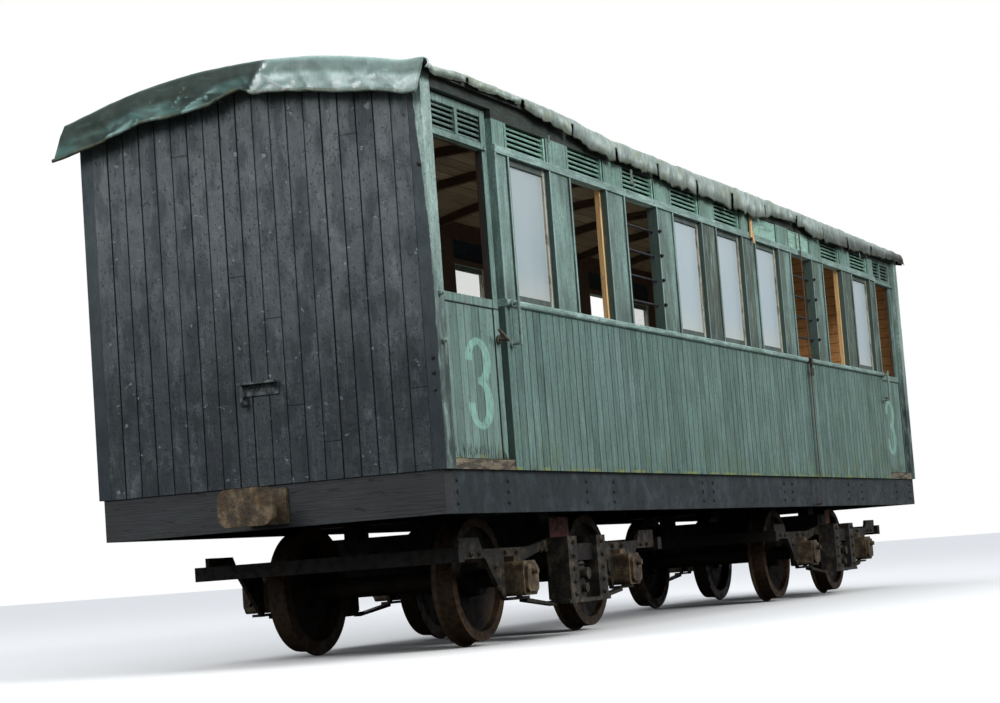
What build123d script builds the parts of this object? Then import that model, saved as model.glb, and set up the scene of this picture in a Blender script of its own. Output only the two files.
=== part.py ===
from build123d import *
import math
import os

# Narrow-gauge passenger coach, an old timber body on a steel underframe with two bogies.
# X runs along the coach, Y across it, Z up; the origin is midway, on the surface under the flanges.
# The near side faces -Y and the front end faces -X. All sizes are in millimetres.

# Seats and running clearances
SEAT = 0.3
LEAF_GAP = 7.0
JOURNAL_GAP = 0.3
PIN_GAP = 0.3

# Track and wheels
GAUGE = 1000.0
FLANGE_H = 25.0
FLANGE_T = 28.0
FLANGE_TIP = 13.0
FLANGE_CHAMFER = 8.0
FLANGE_PLAY = 6.0
WHEEL_D = 711.0
WHEEL_W = 127.0
TREAD_CONE = 3.0
RIM_T = 58.0
WEB_T = 24.0
WEB_DISH = 26.0
HUB_R = 92.0
HUB_W = 150.0
HUB_FOOT = 8.0
AXLE_R = 58.0
JOURNAL_R = 40.0
JOURNAL_END = 890.0
COLLAR_R = 52.0
COLLAR_GAP = 12.0

# Bogie frame, with heights above the rail
BOGIE_INSET = 2125.0
WHEELBASE = 1650.0
FRAME_FACE = 800.0
FRAME_T = 25.0
FRAME_HALF = 1500.0
BAR_LOW = 470.0
BAR_TOP = 520.0
LUG_L = 300.0
LUG_TOP = 585.0
LUG_SLOPE = 40.0
BELLY_LOW = 200.0
BELLY_TOP = 560.0
BELLY_HALF = 262.0
RISE_RUN = 300.0
RISE_DEPTH = 42.0
GUARD_LOW = 225.0
GUARD_HALF_TOP = 350.0
GUARD_HALF_LOW = 115.0
GUARD_BACK = 185.0
GUARD_BACK_DROP = 25.0
HORN_GAP = 190.0
KEEPER_T = 16.0
END_BEAM_W = 70.0
END_BEAM_OVER = 30.0
END_BEAM_RIM = 15.0
TRANSOM_W = 80.0
TRANSOM_LOW = 400.0
TRANSOM_DROP = 15.0

# Axleboxes
BOX_UP = 85.0
BOX_DOWN = 110.0
BOX_IN = 730.0
BOX_OUT = 912.0
BOX_CORNER = 26.0
BOX_BACK_WALL = 12.0
LID_T = 20.0
LID_INSET = 20.0
LID_CORNER = 30.0
KNOB_R = 18.0
KNOB_OUT = 32.0
KNOB_UP = 25.0
CROWN_HALF = 45.0
CROWN_OUT = 40.0

# Bolster, its springs and what carries them
BOLSTER_W = 300.0
BOLSTER_PLAY = 25.0
BOLSTER_LOW = 420.0
BOLSTER_TOP = 655.0
BOLSTER_NOSE = 40.0
BOLSTER_END = 903.0
POST_AT = 226.0
POST_W = 140.0
POST_T = 12.0
POST_OUT = 935.0
POST_LOW = 195.0
POST_TOP = 565.0
BASKET_T = 22.0
BASKET_HALF = 325.0
TIE_T = 16.0
TIE_W = 50.0
TIE_LAP = 40.0
SPRING_R = 52.0
SPRING_WIRE_R = 13.0
SPRING_TURNS = 5
SPRING_GAP = 3.0
HANGER_AT = 75.0
HANGER_W = 84.0
HANGER_T = 12.0
HANGER_H = 190.0
HANGER_SET = 14.0
HANGER_BOSSES = [  # height above the rail, radius, reach past the plate
    (340.0, 35.0, 44.0),
    (255.0, 28.0, 30.0),
]
BOSS_NECK_R = 24.0
BOSS_NECK_L = 16.0
CENTRE_R = 170.0
CENTRE_H = 40.0
KING_R = 30.0
KING_DROP = 110.0
BEARER_Y = 620.0
BEARER_L = 160.0
BEARER_W = 90.0
BEARER_T = 20.0
BEARER_GAP = 5.0

# Underframe
SOLE_UP = 705.0
SOLE_H = 230.0
SOLE_FLANGE = 75.0
SOLE_T = 10.0
SOLE_INSET = 25.0
HEADSTOCK_T = 105.0
HEADSTOCK_BACK = 10.0
CROSSBAR_H = 100.0
CROSSBAR_W = 60.0
CROSSBAR_T = 9.0
CROSSBAR_CLEAR = 40.0
BODY_BOLSTER_W = 320.0
BODY_BOLSTER_UP = 30.0
BODY_BOLSTER_T = 14.0
BODY_BOLSTER_FLANGE = 90.0
FLOOR_T = 28.0

# Sides, with heights above the solebar's lower edge
BODY_L = 9950.0
BODY_W = 2130.0
BAYS = 11
WALL_T = 60.0
CORNER_W = 115.0
CORNER_D = 75.0
DOORWAY_W = 760.0
SILL_H = 55.0
SILL_SET = 5.0
WAIST_UP = 1135.0
BEAD_H = 43.0
BEAD_OUT = 20.0
WINDOW_W = 570.0
WINDOW_H = 820.0
TRANSOM_RAIL_H = 44.0
TRANSOM_RAIL_OUT = 12.0
VENT_H = 148.0
CANTRAIL_H = 105.0
PILLAR_BEAD_W = 24.0
PILLAR_BEAD_OUT = 9.0
BOARD_PITCH = 96.0
GROOVE_W = 5.0
GROOVE_D = 5.0

# Louvres, sashes, bars
SLATS = 5
SLAT_T = 7.0
SLAT_W = 26.0
SLAT_TILT = 50.0
SLAT_LET_IN = 4.0
SLAT_SET = 8.0
VENT_STILE = 22.0
VENT_T = 34.0
SASH_W = 38.0
SASH_T = 28.0
SASH_SET = 18.0
GLASS_T = 4.0
BAR_R = 8.0
BARS = 4
JAMB_W = 30.0
JAMB_T = 24.0

# Ends and roof
END_T = 45.0
END_PLANKS = 19
ROOF_T = 22.0
ROOF_RISE = 170.0
ROOF_SIDE_OVER = 30.0
ROOF_END_OVER = 70.0
RIB_W = 45.0
RIB_D = 60.0
CANVAS_T = 7.0
CANVAS_GAP = 0.5
CANVAS_SKIRT = 130.0
CANVAS_END_BAND = 185.0

# Doors
LEAF_T = 42.0
LEAF_SET = 36.0
STILE_W = 68.0
DOOR_RAIL_H = 50.0
PANEL_T = 22.0
PANEL_SINK = 6.0
PANEL_LAP = 31.0
SILL_RAIL_DROP = 10.0
MULLION_W = 34.0
DRIP_UP = 4.0
DRIP_H = 18.0
DRIP_OUT = 14.0
DRIP_SHORT = 27.0
KNUCKLE_R = 9.0
KNUCKLE_L = 90.0
KNUCKLE_OFF = 1.0
HINGE_PIN_R = 4.0
HINGE_PLATE_T = 6.0
HINGE_PLATE_W = 60.0
HINGES = (0.12, 0.55, 0.92)
LEVER_L = 130.0
LEVER_R = 9.0
SPINDLE_R = 7.0
LEVER_OUT = 58.0
LEVER_HEEL = 18.0
LEVER_LEAN = 68.0
ROSE_R = 26.0
ROSE_T = 10.0
LEVER_DROP = 187.0

# Fittings
GRAB_R = 9.0
GRAB_OUT = 62.0
GRAB_L = 265.0
GRAB_BOSS_R = 22.0
GRAB_BOSS_T = 12.0
GRAB_FROM_EDGE = 55.0
GRAB_RISE = 5.0
GRAB_END = 25.0
COUPLER_SHANK = 92.0
COUPLER_OUT = 210.0
COUPLER_PLATE_W = 240.0
COUPLER_PLATE_H = 190.0
COUPLER_PLATE_T = 25.0
BUFFER_W = 330.0
BUFFER_H = 200.0
BUFFER_T = 45.0
BUFFER_CORNER = 60.0
COUPLER_PIN_R = 19.0
COUPLER_PIN_AT = 125.0
SHELF_UP = 770.0
SHELF_W = 230.0
SHELF_D = 60.0
SHELF_T = 12.0
SHELF_BACK_H = 60.0
SHELF_BACK_T = 10.0
HOOK_R = 7.0
HOOK_L = 70.0
HOOK_FROM_EDGE = 25.0
RING_R = 30.0
RING_HOLE_R = 18.0
STRAP_X = 1745.0
STRAP_W = 26.0
STRAP_T = 3.0
STRAP_CLEAR = 12.0
STRAP_FOOT_UP = 8.0
STRAP_FOOT_T = 12.0

# Places that follow from the sizes above
RAIL_Z = FLANGE_H
AXLE_Z = RAIL_Z + WHEEL_D / 2
WHEEL_BACK = GAUGE / 2 - FLANGE_PLAY - FLANGE_T
WHEEL_FACE = WHEEL_BACK + WHEEL_W
HALF_L = BODY_L / 2
HALF_W = BODY_W / 2
BAY = BODY_L / BAYS
INNER = HALF_W - WALL_T
SOLE_Z = RAIL_Z + SOLE_UP
BODY_Z = SOLE_Z + SOLE_H
BODY_BOLSTER_LOW = SOLE_Z + BODY_BOLSTER_UP
WAIST_Z = SOLE_Z + WAIST_UP
SILL_Z = WAIST_Z + BEAD_H
TRANSOM_Z = SILL_Z + WINDOW_H
VENT_Z = TRANSOM_Z + TRANSOM_RAIL_H
VENT_TOP = VENT_Z + VENT_H
EAVE_Z = VENT_TOP + CANTRAIL_H
ABOVE_ROOF = EAVE_Z + 2 * ROOF_RISE
DOORWAY_OUT = HALF_L - CORNER_W
DOORWAY_IN = DOORWAY_OUT - DOORWAY_W
SOLE_OUT = HALF_W - SOLE_INSET
SOLE_IN = SOLE_OUT - SOLE_FLANGE
HEADSTOCK_FACE = HALF_L - HEADSTOCK_BACK
SOLE_END = HEADSTOCK_FACE - HEADSTOCK_T
COUPLER_Z = SOLE_Z + SOLE_H / 2
ROOF_HALF = HALF_W + ROOF_SIDE_OVER
ROOF_END = HALF_L + ROOF_END_OVER
CANVAS_TOP = EAVE_Z + ROOF_T + CANVAS_GAP + CANVAS_T
CANVAS_LOW = CANVAS_TOP - CANVAS_SKIRT
BOGIE_X = HALF_L - BOGIE_INSET
AXLE_AT = WHEELBASE / 2
FRAME_BACK = FRAME_FACE - FRAME_T
SLOT_HALF = BOLSTER_W / 2 + BOLSTER_PLAY
LEAF_LOW = BODY_Z + SILL_H + LEAF_GAP
LEAF_HIGH = VENT_TOP + DOOR_RAIL_H - LEAF_GAP
LEAF_FACE = -HALF_W + LEAF_SET
LEAF_BACK = LEAF_FACE + LEAF_T
HINGE_X = -DOORWAY_OUT + LEAF_GAP
HINGE_Y = LEAF_BACK + KNUCKLE_R + KNUCKLE_OFF

# Window bays by number, with what stands in the window and in the vent over it
WINDOWS = [
    (2, "glass", "louvre"),
    (3, "open", "louvre"),
    (4, "bars", "louvre"),
    (5, "glass", "louvre"),
    (6, "glass", "louvre"),
    (7, "glass", "panel"),
    (8, "bars", "panel"),
    (9, "open", "louvre"),
    (10, "glass", "louvre"),
]


def span(x, y, z):
    """Box between three (low, high) pairs."""
    centre = Pos((x[0] + x[1]) / 2, (y[0] + y[1]) / 2, (z[0] + z[1]) / 2)
    return centre * Box(x[1] - x[0], y[1] - y[0], z[1] - z[0])


def about(middle, width):
    """Low and high ends of a width about its middle."""
    return (middle - width / 2, middle + width / 2)


def both_sides(solids):
    """The solids and their images on the other side of the coach."""
    return solids + [mirror(s, about=Plane.XZ) for s in solids]


def both_ends(solids):
    """The solids and their images at the other end of the coach."""
    return solids + [mirror(s, about=Plane.YZ) for s in solids]


def arch(half, edge_z, low_z, length):
    """Solid under an arch of the given half width, over the given half length."""
    top = ThreePointArc((-half, edge_z), (0, edge_z + ROOF_RISE), (half, edge_z))
    outline = Curve() + [top, Polyline((half, edge_z), (half, low_z), (-half, low_z), (-half, edge_z))]
    face = make_face(Plane.YZ * outline)
    return Pos(-length, 0, 0) * extrude(face, 2 * length, dir=(1, 0, 0))


def under_roof(drop):
    """Space beneath the roof boards, less a drop."""
    return arch(ROOF_HALF, EAVE_Z - drop, 0, ROOF_END)


def plate(points, y_low, thickness):
    """Plate cut to an outline in X and Z, between y_low and y_low plus its thickness."""
    face = make_face(Plane.XZ * Polyline(*points, close=True))
    return Pos(0, y_low, 0) * extrude(face, thickness, dir=(0, 1, 0))


def cylinder_y(radius, x, z, y_low, y_high):
    """Cylinder along Y."""
    turned = Rot(90, 0, 0) * Cylinder(radius, y_high - y_low)
    return Pos(x, (y_low + y_high) / 2, z) * turned


def cylinder_x(radius, y, z, x_low, x_high):
    """Cylinder along X."""
    turned = Rot(0, 90, 0) * Cylinder(radius, x_high - x_low)
    return Pos((x_low + x_high) / 2, y, z) * turned


def cylinder_z(radius, x, y, z_low, z_high):
    """Cylinder along Z."""
    return Pos(x, y, (z_low + z_high) / 2) * Cylinder(radius, z_high - z_low)


def write(node, solids):
    """Write one node's solids to its file."""
    flat = []
    for item in solids:
        flat.extend(item.solids())
    shape = flat[0] if len(flat) == 1 else Compound(children=flat)
    export_step(shape, "parts/" + node + ".step")


def make_wheelset(x):
    """Two flanged wheels pressed on an axle, turned as one profile."""
    tread = WHEEL_D / 2
    rim_in = tread - RIM_T
    middle = (WHEEL_BACK + WHEEL_FACE) / 2
    hub_low, hub_high = about(middle, HUB_W)
    hub_web = middle - WEB_DISH
    rim_web = middle + WEB_DISH / 2
    collar_end = BOX_IN - COLLAR_GAP
    half = [
        (AXLE_R, hub_low),
        (HUB_R, hub_low),
        (HUB_R + HUB_FOOT, hub_web - WEB_T / 2),
        (rim_in, rim_web - WEB_T / 2),
        (rim_in, WHEEL_BACK),
        (tread + FLANGE_H - FLANGE_CHAMFER, WHEEL_BACK),
        (tread + FLANGE_H, WHEEL_BACK + FLANGE_TIP),
        (tread + TREAD_CONE, WHEEL_BACK + FLANGE_T),
        (tread - TREAD_CONE, WHEEL_FACE),
        (rim_in, WHEEL_FACE),
        (rim_in, rim_web + WEB_T / 2),
        (HUB_R + HUB_FOOT, hub_web + WEB_T / 2),
        (HUB_R, hub_high),
        (COLLAR_R, hub_high),
        (COLLAR_R, collar_end),
        (JOURNAL_R, collar_end),
        (JOURNAL_R, JOURNAL_END),
        (0, JOURNAL_END),
    ]
    other = [(r, -y) for r, y in reversed(half)]
    face = make_face(Polyline(*(half + other), close=True))
    return Pos(x, 0, AXLE_Z) * revolve(face, Axis.Y)


def make_side_plate(x):
    """Near side plate of a bogie, with a guard and keeper for each axlebox."""
    guard_back = -AXLE_AT + GUARD_BACK
    top = [
        (-FRAME_HALF, BAR_LOW),
        (-FRAME_HALF, LUG_TOP),
        (-FRAME_HALF + LUG_L - LUG_SLOPE, LUG_TOP),
        (-FRAME_HALF + LUG_L, BAR_TOP),
        (-BELLY_HALF - RISE_RUN, BAR_TOP),
        (-BELLY_HALF, BELLY_TOP),
    ]
    under = [
        (-BELLY_HALF, BELLY_LOW),
        (-BELLY_HALF, BELLY_TOP - RISE_DEPTH),
        (guard_back, BAR_LOW - GUARD_BACK_DROP),
        (-AXLE_AT + GUARD_HALF_LOW, GUARD_LOW),
        (-AXLE_AT - GUARD_HALF_LOW, GUARD_LOW),
        (-AXLE_AT - GUARD_HALF_TOP, BAR_LOW),
    ]
    mirrored_top = [(-px, pz) for px, pz in reversed(top)]
    mirrored_under = [(-px, pz) for px, pz in reversed(under)]
    outline = top + mirrored_top + mirrored_under + under
    solid = plate([(x + px, RAIL_Z + pz) for px, pz in outline], -FRAME_FACE, FRAME_T)
    through = (-FRAME_FACE - 1, -FRAME_BACK + 1)
    for horn in (x - AXLE_AT, x + AXLE_AT):
        solid -= span(about(horn, HORN_GAP), through, (0, RAIL_Z + BAR_LOW))
        keeper_z = (RAIL_Z + GUARD_LOW, RAIL_Z + GUARD_LOW + KEEPER_T)
        solid += span(about(horn, 2 * GUARD_HALF_LOW), (-FRAME_FACE - TIE_W, -FRAME_FACE), keeper_z)
    slot_z = (RAIL_Z + BOLSTER_LOW - BEARER_GAP, RAIL_Z + BELLY_TOP + 1)
    solid -= span((x - SLOT_HALF, x + SLOT_HALF), through, slot_z)
    return solid


def make_basket(x):
    """Near spring basket: its strap with ties to the keepers, two posts and the hanger between them."""
    low = RAIL_Z + POST_LOW
    basket = span((x - BASKET_HALF, x + BASKET_HALF), (-POST_OUT, -FRAME_BACK), (low - BASKET_T, low))
    guard_z = RAIL_Z + GUARD_LOW
    tie_z = low - BASKET_T
    for end in (-1, 1):
        inner = x + end * (AXLE_AT - GUARD_HALF_LOW)
        foot = x + end * BASKET_HALF
        outline = [
            (inner + end * TIE_LAP, guard_z),
            (inner + end * TIE_LAP, guard_z - TIE_T),
            (foot, tie_z - TIE_T / 2),
            (foot, tie_z + TIE_T / 2),
            (inner, guard_z),
        ]
        basket += plate(outline, -FRAME_FACE - TIE_W, TIE_W)
    post_z = (low, RAIL_Z + POST_TOP)
    for middle in (x - POST_AT, x + POST_AT):
        post = span(about(middle, POST_W), (-POST_OUT, -FRAME_FACE), post_z)
        hollow = about(middle, POST_W - 2 * POST_T)
        basket += post - span(hollow, (-POST_OUT + POST_T, -FRAME_FACE + 1), (low, post_z[1] + 1))
    hanger_x = x - HANGER_AT
    hanger_face = -POST_OUT + HANGER_SET
    basket += span(about(hanger_x, HANGER_W), (hanger_face, hanger_face + HANGER_T), (low, low + HANGER_H))
    for up, radius, reach in HANGER_BOSSES:
        z = RAIL_Z + up
        neck = hanger_face - BOSS_NECK_L
        basket += cylinder_y(BOSS_NECK_R, hanger_x, z, neck, hanger_face)
        basket += cylinder_y(radius, hanger_x, z, hanger_face - reach, neck)
    return basket


def make_cross_beams(x):
    """End beams and transoms between a bogie's side plates."""
    beams = []
    beam_half = FRAME_FACE + END_BEAM_OVER
    beam_z = (RAIL_Z + BAR_LOW - END_BEAM_RIM, RAIL_Z + BAR_TOP + END_BEAM_RIM)
    transom_z = (RAIL_Z + TRANSOM_LOW, RAIL_Z + BELLY_TOP - TRANSOM_DROP)
    for end in (-1, 1):
        beam_x = sorted((x + end * FRAME_HALF, x + end * (FRAME_HALF + END_BEAM_W)))
        beams.append(span(beam_x, (-beam_half, beam_half), beam_z))
        transom_x = sorted((x + end * SLOT_HALF, x + end * (SLOT_HALF + TRANSOM_W)))
        beams.append(span(transom_x, (-FRAME_BACK, FRAME_BACK), transom_z))
    return beams


def make_axlebox(x):
    """Near axlebox in its guard, with a round-cornered lid, a knob and a crown under the frame bar."""
    box_x = about(x, HORN_GAP - 2 * SEAT)
    box_z = (AXLE_Z - BOX_DOWN, AXLE_Z + BOX_UP)
    box = span(box_x, (-BOX_OUT, -BOX_IN), box_z)
    box = fillet(box.edges().filter_by(Axis.Y), BOX_CORNER)
    lid_x = (box_x[0] + LID_INSET, box_x[1] - LID_INSET)
    lid_z = (box_z[0] + LID_INSET, box_z[1] - LID_INSET)
    lid = span(lid_x, (-BOX_OUT - LID_T, -BOX_OUT), lid_z)
    box += fillet(lid.edges().filter_by(Axis.Y), LID_CORNER)
    lid_face = -BOX_OUT - LID_T
    box += cylinder_y(KNOB_R, x, AXLE_Z + KNOB_UP, lid_face - KNOB_OUT, lid_face)
    crown_z = (box_z[1], RAIL_Z + BAR_LOW - SEAT)
    box += span(about(x, 2 * CROWN_HALF), (-FRAME_FACE - CROWN_OUT, -BOX_IN), crown_z)
    box -= cylinder_y(JOURNAL_R + JOURNAL_GAP, x, AXLE_Z, -JOURNAL_END - BOX_BACK_WALL, -BOX_IN + 1)
    return box


def make_spring(x):
    """Near bolster spring, its coils drawn as a ringed column between basket and bolster."""
    low = RAIL_Z + POST_LOW
    high = RAIL_Z + BOLSTER_LOW
    turn = (high - low) / SPRING_TURNS
    rings = [(0, low)]
    for i in range(SPRING_TURNS):
        rings.append((SPRING_R - SPRING_WIRE_R, low + turn * i))
        rings.append((SPRING_R, low + turn * (i + 0.5)))
    rings.append((SPRING_R - SPRING_WIRE_R, high))
    rings.append((0, high))
    face = make_face(Plane.XZ * Polyline(*rings, close=True))
    return Pos(x, -FRAME_FACE - SPRING_GAP - SPRING_R, 0) * revolve(face, Axis.Z)


def make_bolster(x):
    """Bogie bolster with its centre plate, king pin hole and side bearers."""
    top = RAIL_Z + BOLSTER_TOP
    bolster = span(about(x, BOLSTER_W), (-BOLSTER_END, BOLSTER_END), (RAIL_Z + BOLSTER_LOW, top))
    nose_z = (RAIL_Z + BELLY_TOP - BOLSTER_NOSE, top + 1)
    nose = span(about(x, BOLSTER_W + 2), (-BOLSTER_END - 1, -FRAME_BACK + HANGER_T), nose_z)
    bolster -= nose
    bolster -= mirror(nose, about=Plane.XZ)
    bolster += cylinder_z(CENTRE_R, x, 0, top, top + CENTRE_H)
    bolster -= cylinder_z(KING_R + PIN_GAP, x, 0, top - 2 * KING_DROP, top + CENTRE_H + 1)
    bearer_top = BODY_BOLSTER_LOW - BEARER_GAP - BEARER_T
    for y in (-BEARER_Y, BEARER_Y):
        bolster += span(about(x, BEARER_L), about(y, BEARER_W), (top, bearer_top))
    return bolster


def make_bogie(x):
    """All the pieces of one bogie about its centre, without its wheelsets."""
    boxes = [make_axlebox(x - AXLE_AT), make_axlebox(x + AXLE_AT)]
    return {
        "side_plates": both_sides([make_side_plate(x)]),
        "baskets": both_sides([make_basket(x)]),
        "cross_beams": make_cross_beams(x),
        "axleboxes": both_sides(boxes),
        "springs": both_sides([make_spring(x)]),
        "bolster": [make_bolster(x)],
    }


def make_body_bolster(x):
    """Beam across the underframe over a bogie, with the centre plate, king pin and side bearers."""
    beam_x = about(x, BODY_BOLSTER_W)
    across = (-SOLE_IN, SOLE_IN)
    beam = span(beam_x, across, (BODY_BOLSTER_LOW, BODY_Z))
    hollow_z = (BODY_BOLSTER_LOW + BODY_BOLSTER_T, BODY_Z - BODY_BOLSTER_T)
    through = (-SOLE_IN - 1, SOLE_IN + 1)
    beam -= span((beam_x[0] - 1, beam_x[0] + BODY_BOLSTER_FLANGE), through, hollow_z)
    beam -= span((beam_x[1] - BODY_BOLSTER_FLANGE, beam_x[1] + 1), through, hollow_z)
    disc_low = RAIL_Z + BOLSTER_TOP + CENTRE_H + SEAT
    beam += cylinder_z(CENTRE_R, x, 0, disc_low, BODY_BOLSTER_LOW)
    beam += cylinder_z(KING_R, x, 0, disc_low - KING_DROP, disc_low)
    bearer_z = (BODY_BOLSTER_LOW - BEARER_T, BODY_BOLSTER_LOW)
    for y in (-BEARER_Y, BEARER_Y):
        beam += span(about(x, BEARER_L), about(y, BEARER_W), bearer_z)
    return beam


def make_underframe():
    """Solebars, headstocks, cross members and the floor on them."""
    sole = span((-SOLE_END, SOLE_END), (-SOLE_OUT, -SOLE_IN), (SOLE_Z, BODY_Z))
    hollow_z = (SOLE_Z + SOLE_T, BODY_Z - SOLE_T)
    sole -= span((-SOLE_END - 1, SOLE_END + 1), (-SOLE_OUT + SOLE_T, -SOLE_IN + 1), hollow_z)
    headstock = span((SOLE_END, HEADSTOCK_FACE), (-SOLE_OUT, SOLE_OUT), (SOLE_Z, BODY_Z))
    bars = []
    for i in range(1, BAYS):
        x = -HALF_L + BAY * i
        if abs(abs(x) - BOGIE_X) < BODY_BOLSTER_W / 2 + CROSSBAR_W + CROSSBAR_CLEAR:
            continue
        bar_z = (BODY_Z - CROSSBAR_H, BODY_Z)
        bar = span(about(x, CROSSBAR_W), (-SOLE_IN, SOLE_IN), bar_z)
        inside_x = (x - CROSSBAR_W / 2 + CROSSBAR_T, x + CROSSBAR_W)
        bar -= span(inside_x, (-SOLE_IN - 1, SOLE_IN + 1), (bar_z[0] + CROSSBAR_T, bar_z[1] - CROSSBAR_T))
        bars.append(bar)
    floor_end = HALF_L - END_T
    floor_z = (BODY_Z, BODY_Z + FLOOR_T)
    floor = span((-floor_end, floor_end), (-INNER, INNER), floor_z)
    notch_y = (-INNER - 1, -HALF_W + CORNER_D)
    notch = span((-HALF_L - 1, -DOORWAY_OUT), notch_y, (floor_z[0] - 1, floor_z[1] + 1))
    for piece in both_sides(both_ends([notch])):
        floor -= piece
    return {
        "solebars": both_sides([sole]),
        "headstocks": both_ends([headstock]),
        "cross_members": bars + [make_body_bolster(-BOGIE_X), make_body_bolster(BOGIE_X)],
        "floor": [floor],
    }


def bay_centres():
    """Centres of the window bays, from the front door to the rear door."""
    return [-HALF_L + BAY * (number - 0.5) for number, window, vent in WINDOWS]


def make_slats(x, width, y_middle):
    """Tilted slats of a vent, let into what stands either side of them."""
    pitch = (VENT_TOP - VENT_Z) / SLATS
    slats = []
    for i in range(SLATS):
        centre = Pos(x, y_middle, VENT_Z + pitch * (i + 0.5))
        slats.append(centre * Rot(-SLAT_TILT, 0, 0) * Box(width + 2 * SLAT_LET_IN, SLAT_T, SLAT_W))
    return slats


def make_louvre(x):
    """Vent grille of one bay: two stiles with tilted slats let into them."""
    y = (-HALF_W + SLAT_SET, -HALF_W + SLAT_SET + VENT_T)
    left, right = about(x, WINDOW_W)
    grille = span((left, left + VENT_STILE), y, (VENT_Z, VENT_TOP))
    grille += span((right - VENT_STILE, right), y, (VENT_Z, VENT_TOP))
    return grille + make_slats(x, WINDOW_W - 2 * VENT_STILE, (y[0] + y[1]) / 2)


def make_side_frame():
    """Boarding, rails, pillars and cantrail of the near side."""
    wall_y = (-HALF_W, -INNER)
    board_x = (-DOORWAY_IN, DOORWAY_IN)
    boarding = span(board_x, wall_y, (BODY_Z, WAIST_Z))
    count = int((board_x[1] - board_x[0]) / BOARD_PITCH)
    step = (board_x[1] - board_x[0]) / count
    groove_y = (-HALF_W - 1, -HALF_W + GROOVE_D)
    boarding -= [
        span(about(board_x[0] + step * i, GROOVE_W), groove_y, (BODY_Z - 1, WAIST_Z + 1))
        for i in range(1, count)
    ]
    nose = cylinder_x(BEAD_H / 2, -HALF_W, WAIST_Z + BEAD_H / 2, board_x[0], board_x[1])
    nose &= span(board_x, (-HALF_W - BEAD_OUT, -HALF_W), (WAIST_Z, SILL_Z))
    bead = span(board_x, wall_y, (WAIST_Z, SILL_Z)) + nose
    rail = span(board_x, (-HALF_W - TRANSOM_RAIL_OUT, -INNER), (TRANSOM_Z, VENT_Z))
    cantrail = span((-DOORWAY_OUT, DOORWAY_OUT), wall_y, (VENT_TOP, ABOVE_ROOF))
    for end in (-1, 1):
        head_x = sorted((end * (DOORWAY_OUT + 1), end * DOORWAY_IN))
        cantrail -= span(head_x, (-HALF_W - 1, -INNER + 1), (VENT_TOP - 1, VENT_TOP + DOOR_RAIL_H))
    edges = [-DOORWAY_IN]
    for x in bay_centres():
        edges.extend(about(x, WINDOW_W))
    edges.append(DOORWAY_IN)
    pillars = []
    for x in zip(edges[0::2], edges[1::2]):
        post = span(x, wall_y, (SILL_Z, TRANSOM_Z))
        bead_y = (-HALF_W - PILLAR_BEAD_OUT, -HALF_W)
        for low in (x[0], x[1] - PILLAR_BEAD_W):
            post += span((low, low + PILLAR_BEAD_W), bead_y, (SILL_Z, TRANSOM_Z))
        pillars.append(post)
        pillars.append(span(x, wall_y, (VENT_Z, VENT_TOP)))
    return {
        "side_boarding": both_sides([boarding]),
        "side_rails": both_sides([bead, rail]),
        "cantrails": both_sides([cantrail & under_roof(SEAT)]),
        "pillars": both_sides(pillars),
    }


def make_windows():
    """What stands in the windows and vents of both sides, by the table of bays."""
    nodes = {"louvres": [], "sashes": [], "window_glass": [], "window_bars": [], "jamb_strips": []}
    sash_y = (-HALF_W + SASH_SET, -HALF_W + SASH_SET + SASH_T)
    middle_y = (sash_y[0] + sash_y[1]) / 2
    for (number, window, vent), x in zip(WINDOWS, bay_centres()):
        left, right = about(x, WINDOW_W)
        if vent == "louvre":
            nodes["louvres"].append(make_louvre(x))
        else:
            panel_y = (-HALF_W + SLAT_SET, -HALF_W + SLAT_SET + VENT_T)
            nodes["louvres"].append(span((left, right), panel_y, (VENT_Z, VENT_TOP)))
        if window == "glass":
            pane_x = (left + SASH_W, right - SASH_W)
            pane_z = (SILL_Z + SASH_W, TRANSOM_Z - SASH_W)
            sash = span((left, right), sash_y, (SILL_Z, TRANSOM_Z))
            nodes["sashes"].append(sash - span(pane_x, (sash_y[0] - 1, sash_y[1] + 1), pane_z))
            nodes["window_glass"].append(span(pane_x, about(middle_y, GLASS_T), pane_z))
        if window == "bars":
            for i in range(BARS):
                bar_z = SILL_Z + WINDOW_H * (i + 1) / (BARS + 1)
                nodes["window_bars"].append(cylinder_x(BAR_R, middle_y, bar_z, left, right))
        if window == "open":
            jamb_y = (-INNER - JAMB_W, -INNER)
            nodes["jamb_strips"].append(span((right - JAMB_T, right), jamb_y, (SILL_Z, TRANSOM_Z)))
    return {node: both_sides(solids) for node, solids in nodes.items()}


def hinge_heights():
    """Where the hinges stand, midway between their fixed and swinging knuckles."""
    return [LEAF_LOW + (LEAF_HIGH - LEAF_LOW) * share for share in HINGES]


def make_hinges():
    """Fixed halves of the near front door's hinges, each a plate on the post with a knuckle and a pin."""
    hinges = []
    post_face = -HALF_W + CORNER_D
    for at in hinge_heights():
        z = (at - KNUCKLE_L / 2, at - SEAT / 2)
        hinge = cylinder_z(KNUCKLE_R, HINGE_X, HINGE_Y, z[0], z[1])
        hinge += span((HINGE_X - HINGE_PLATE_W, HINGE_X), (post_face, post_face + HINGE_PLATE_T), z)
        hinge += cylinder_z(HINGE_PIN_R, HINGE_X, HINGE_Y, z[0], at + KNUCKLE_L / 2)
        hinges.append(hinge)
    return hinges


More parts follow.
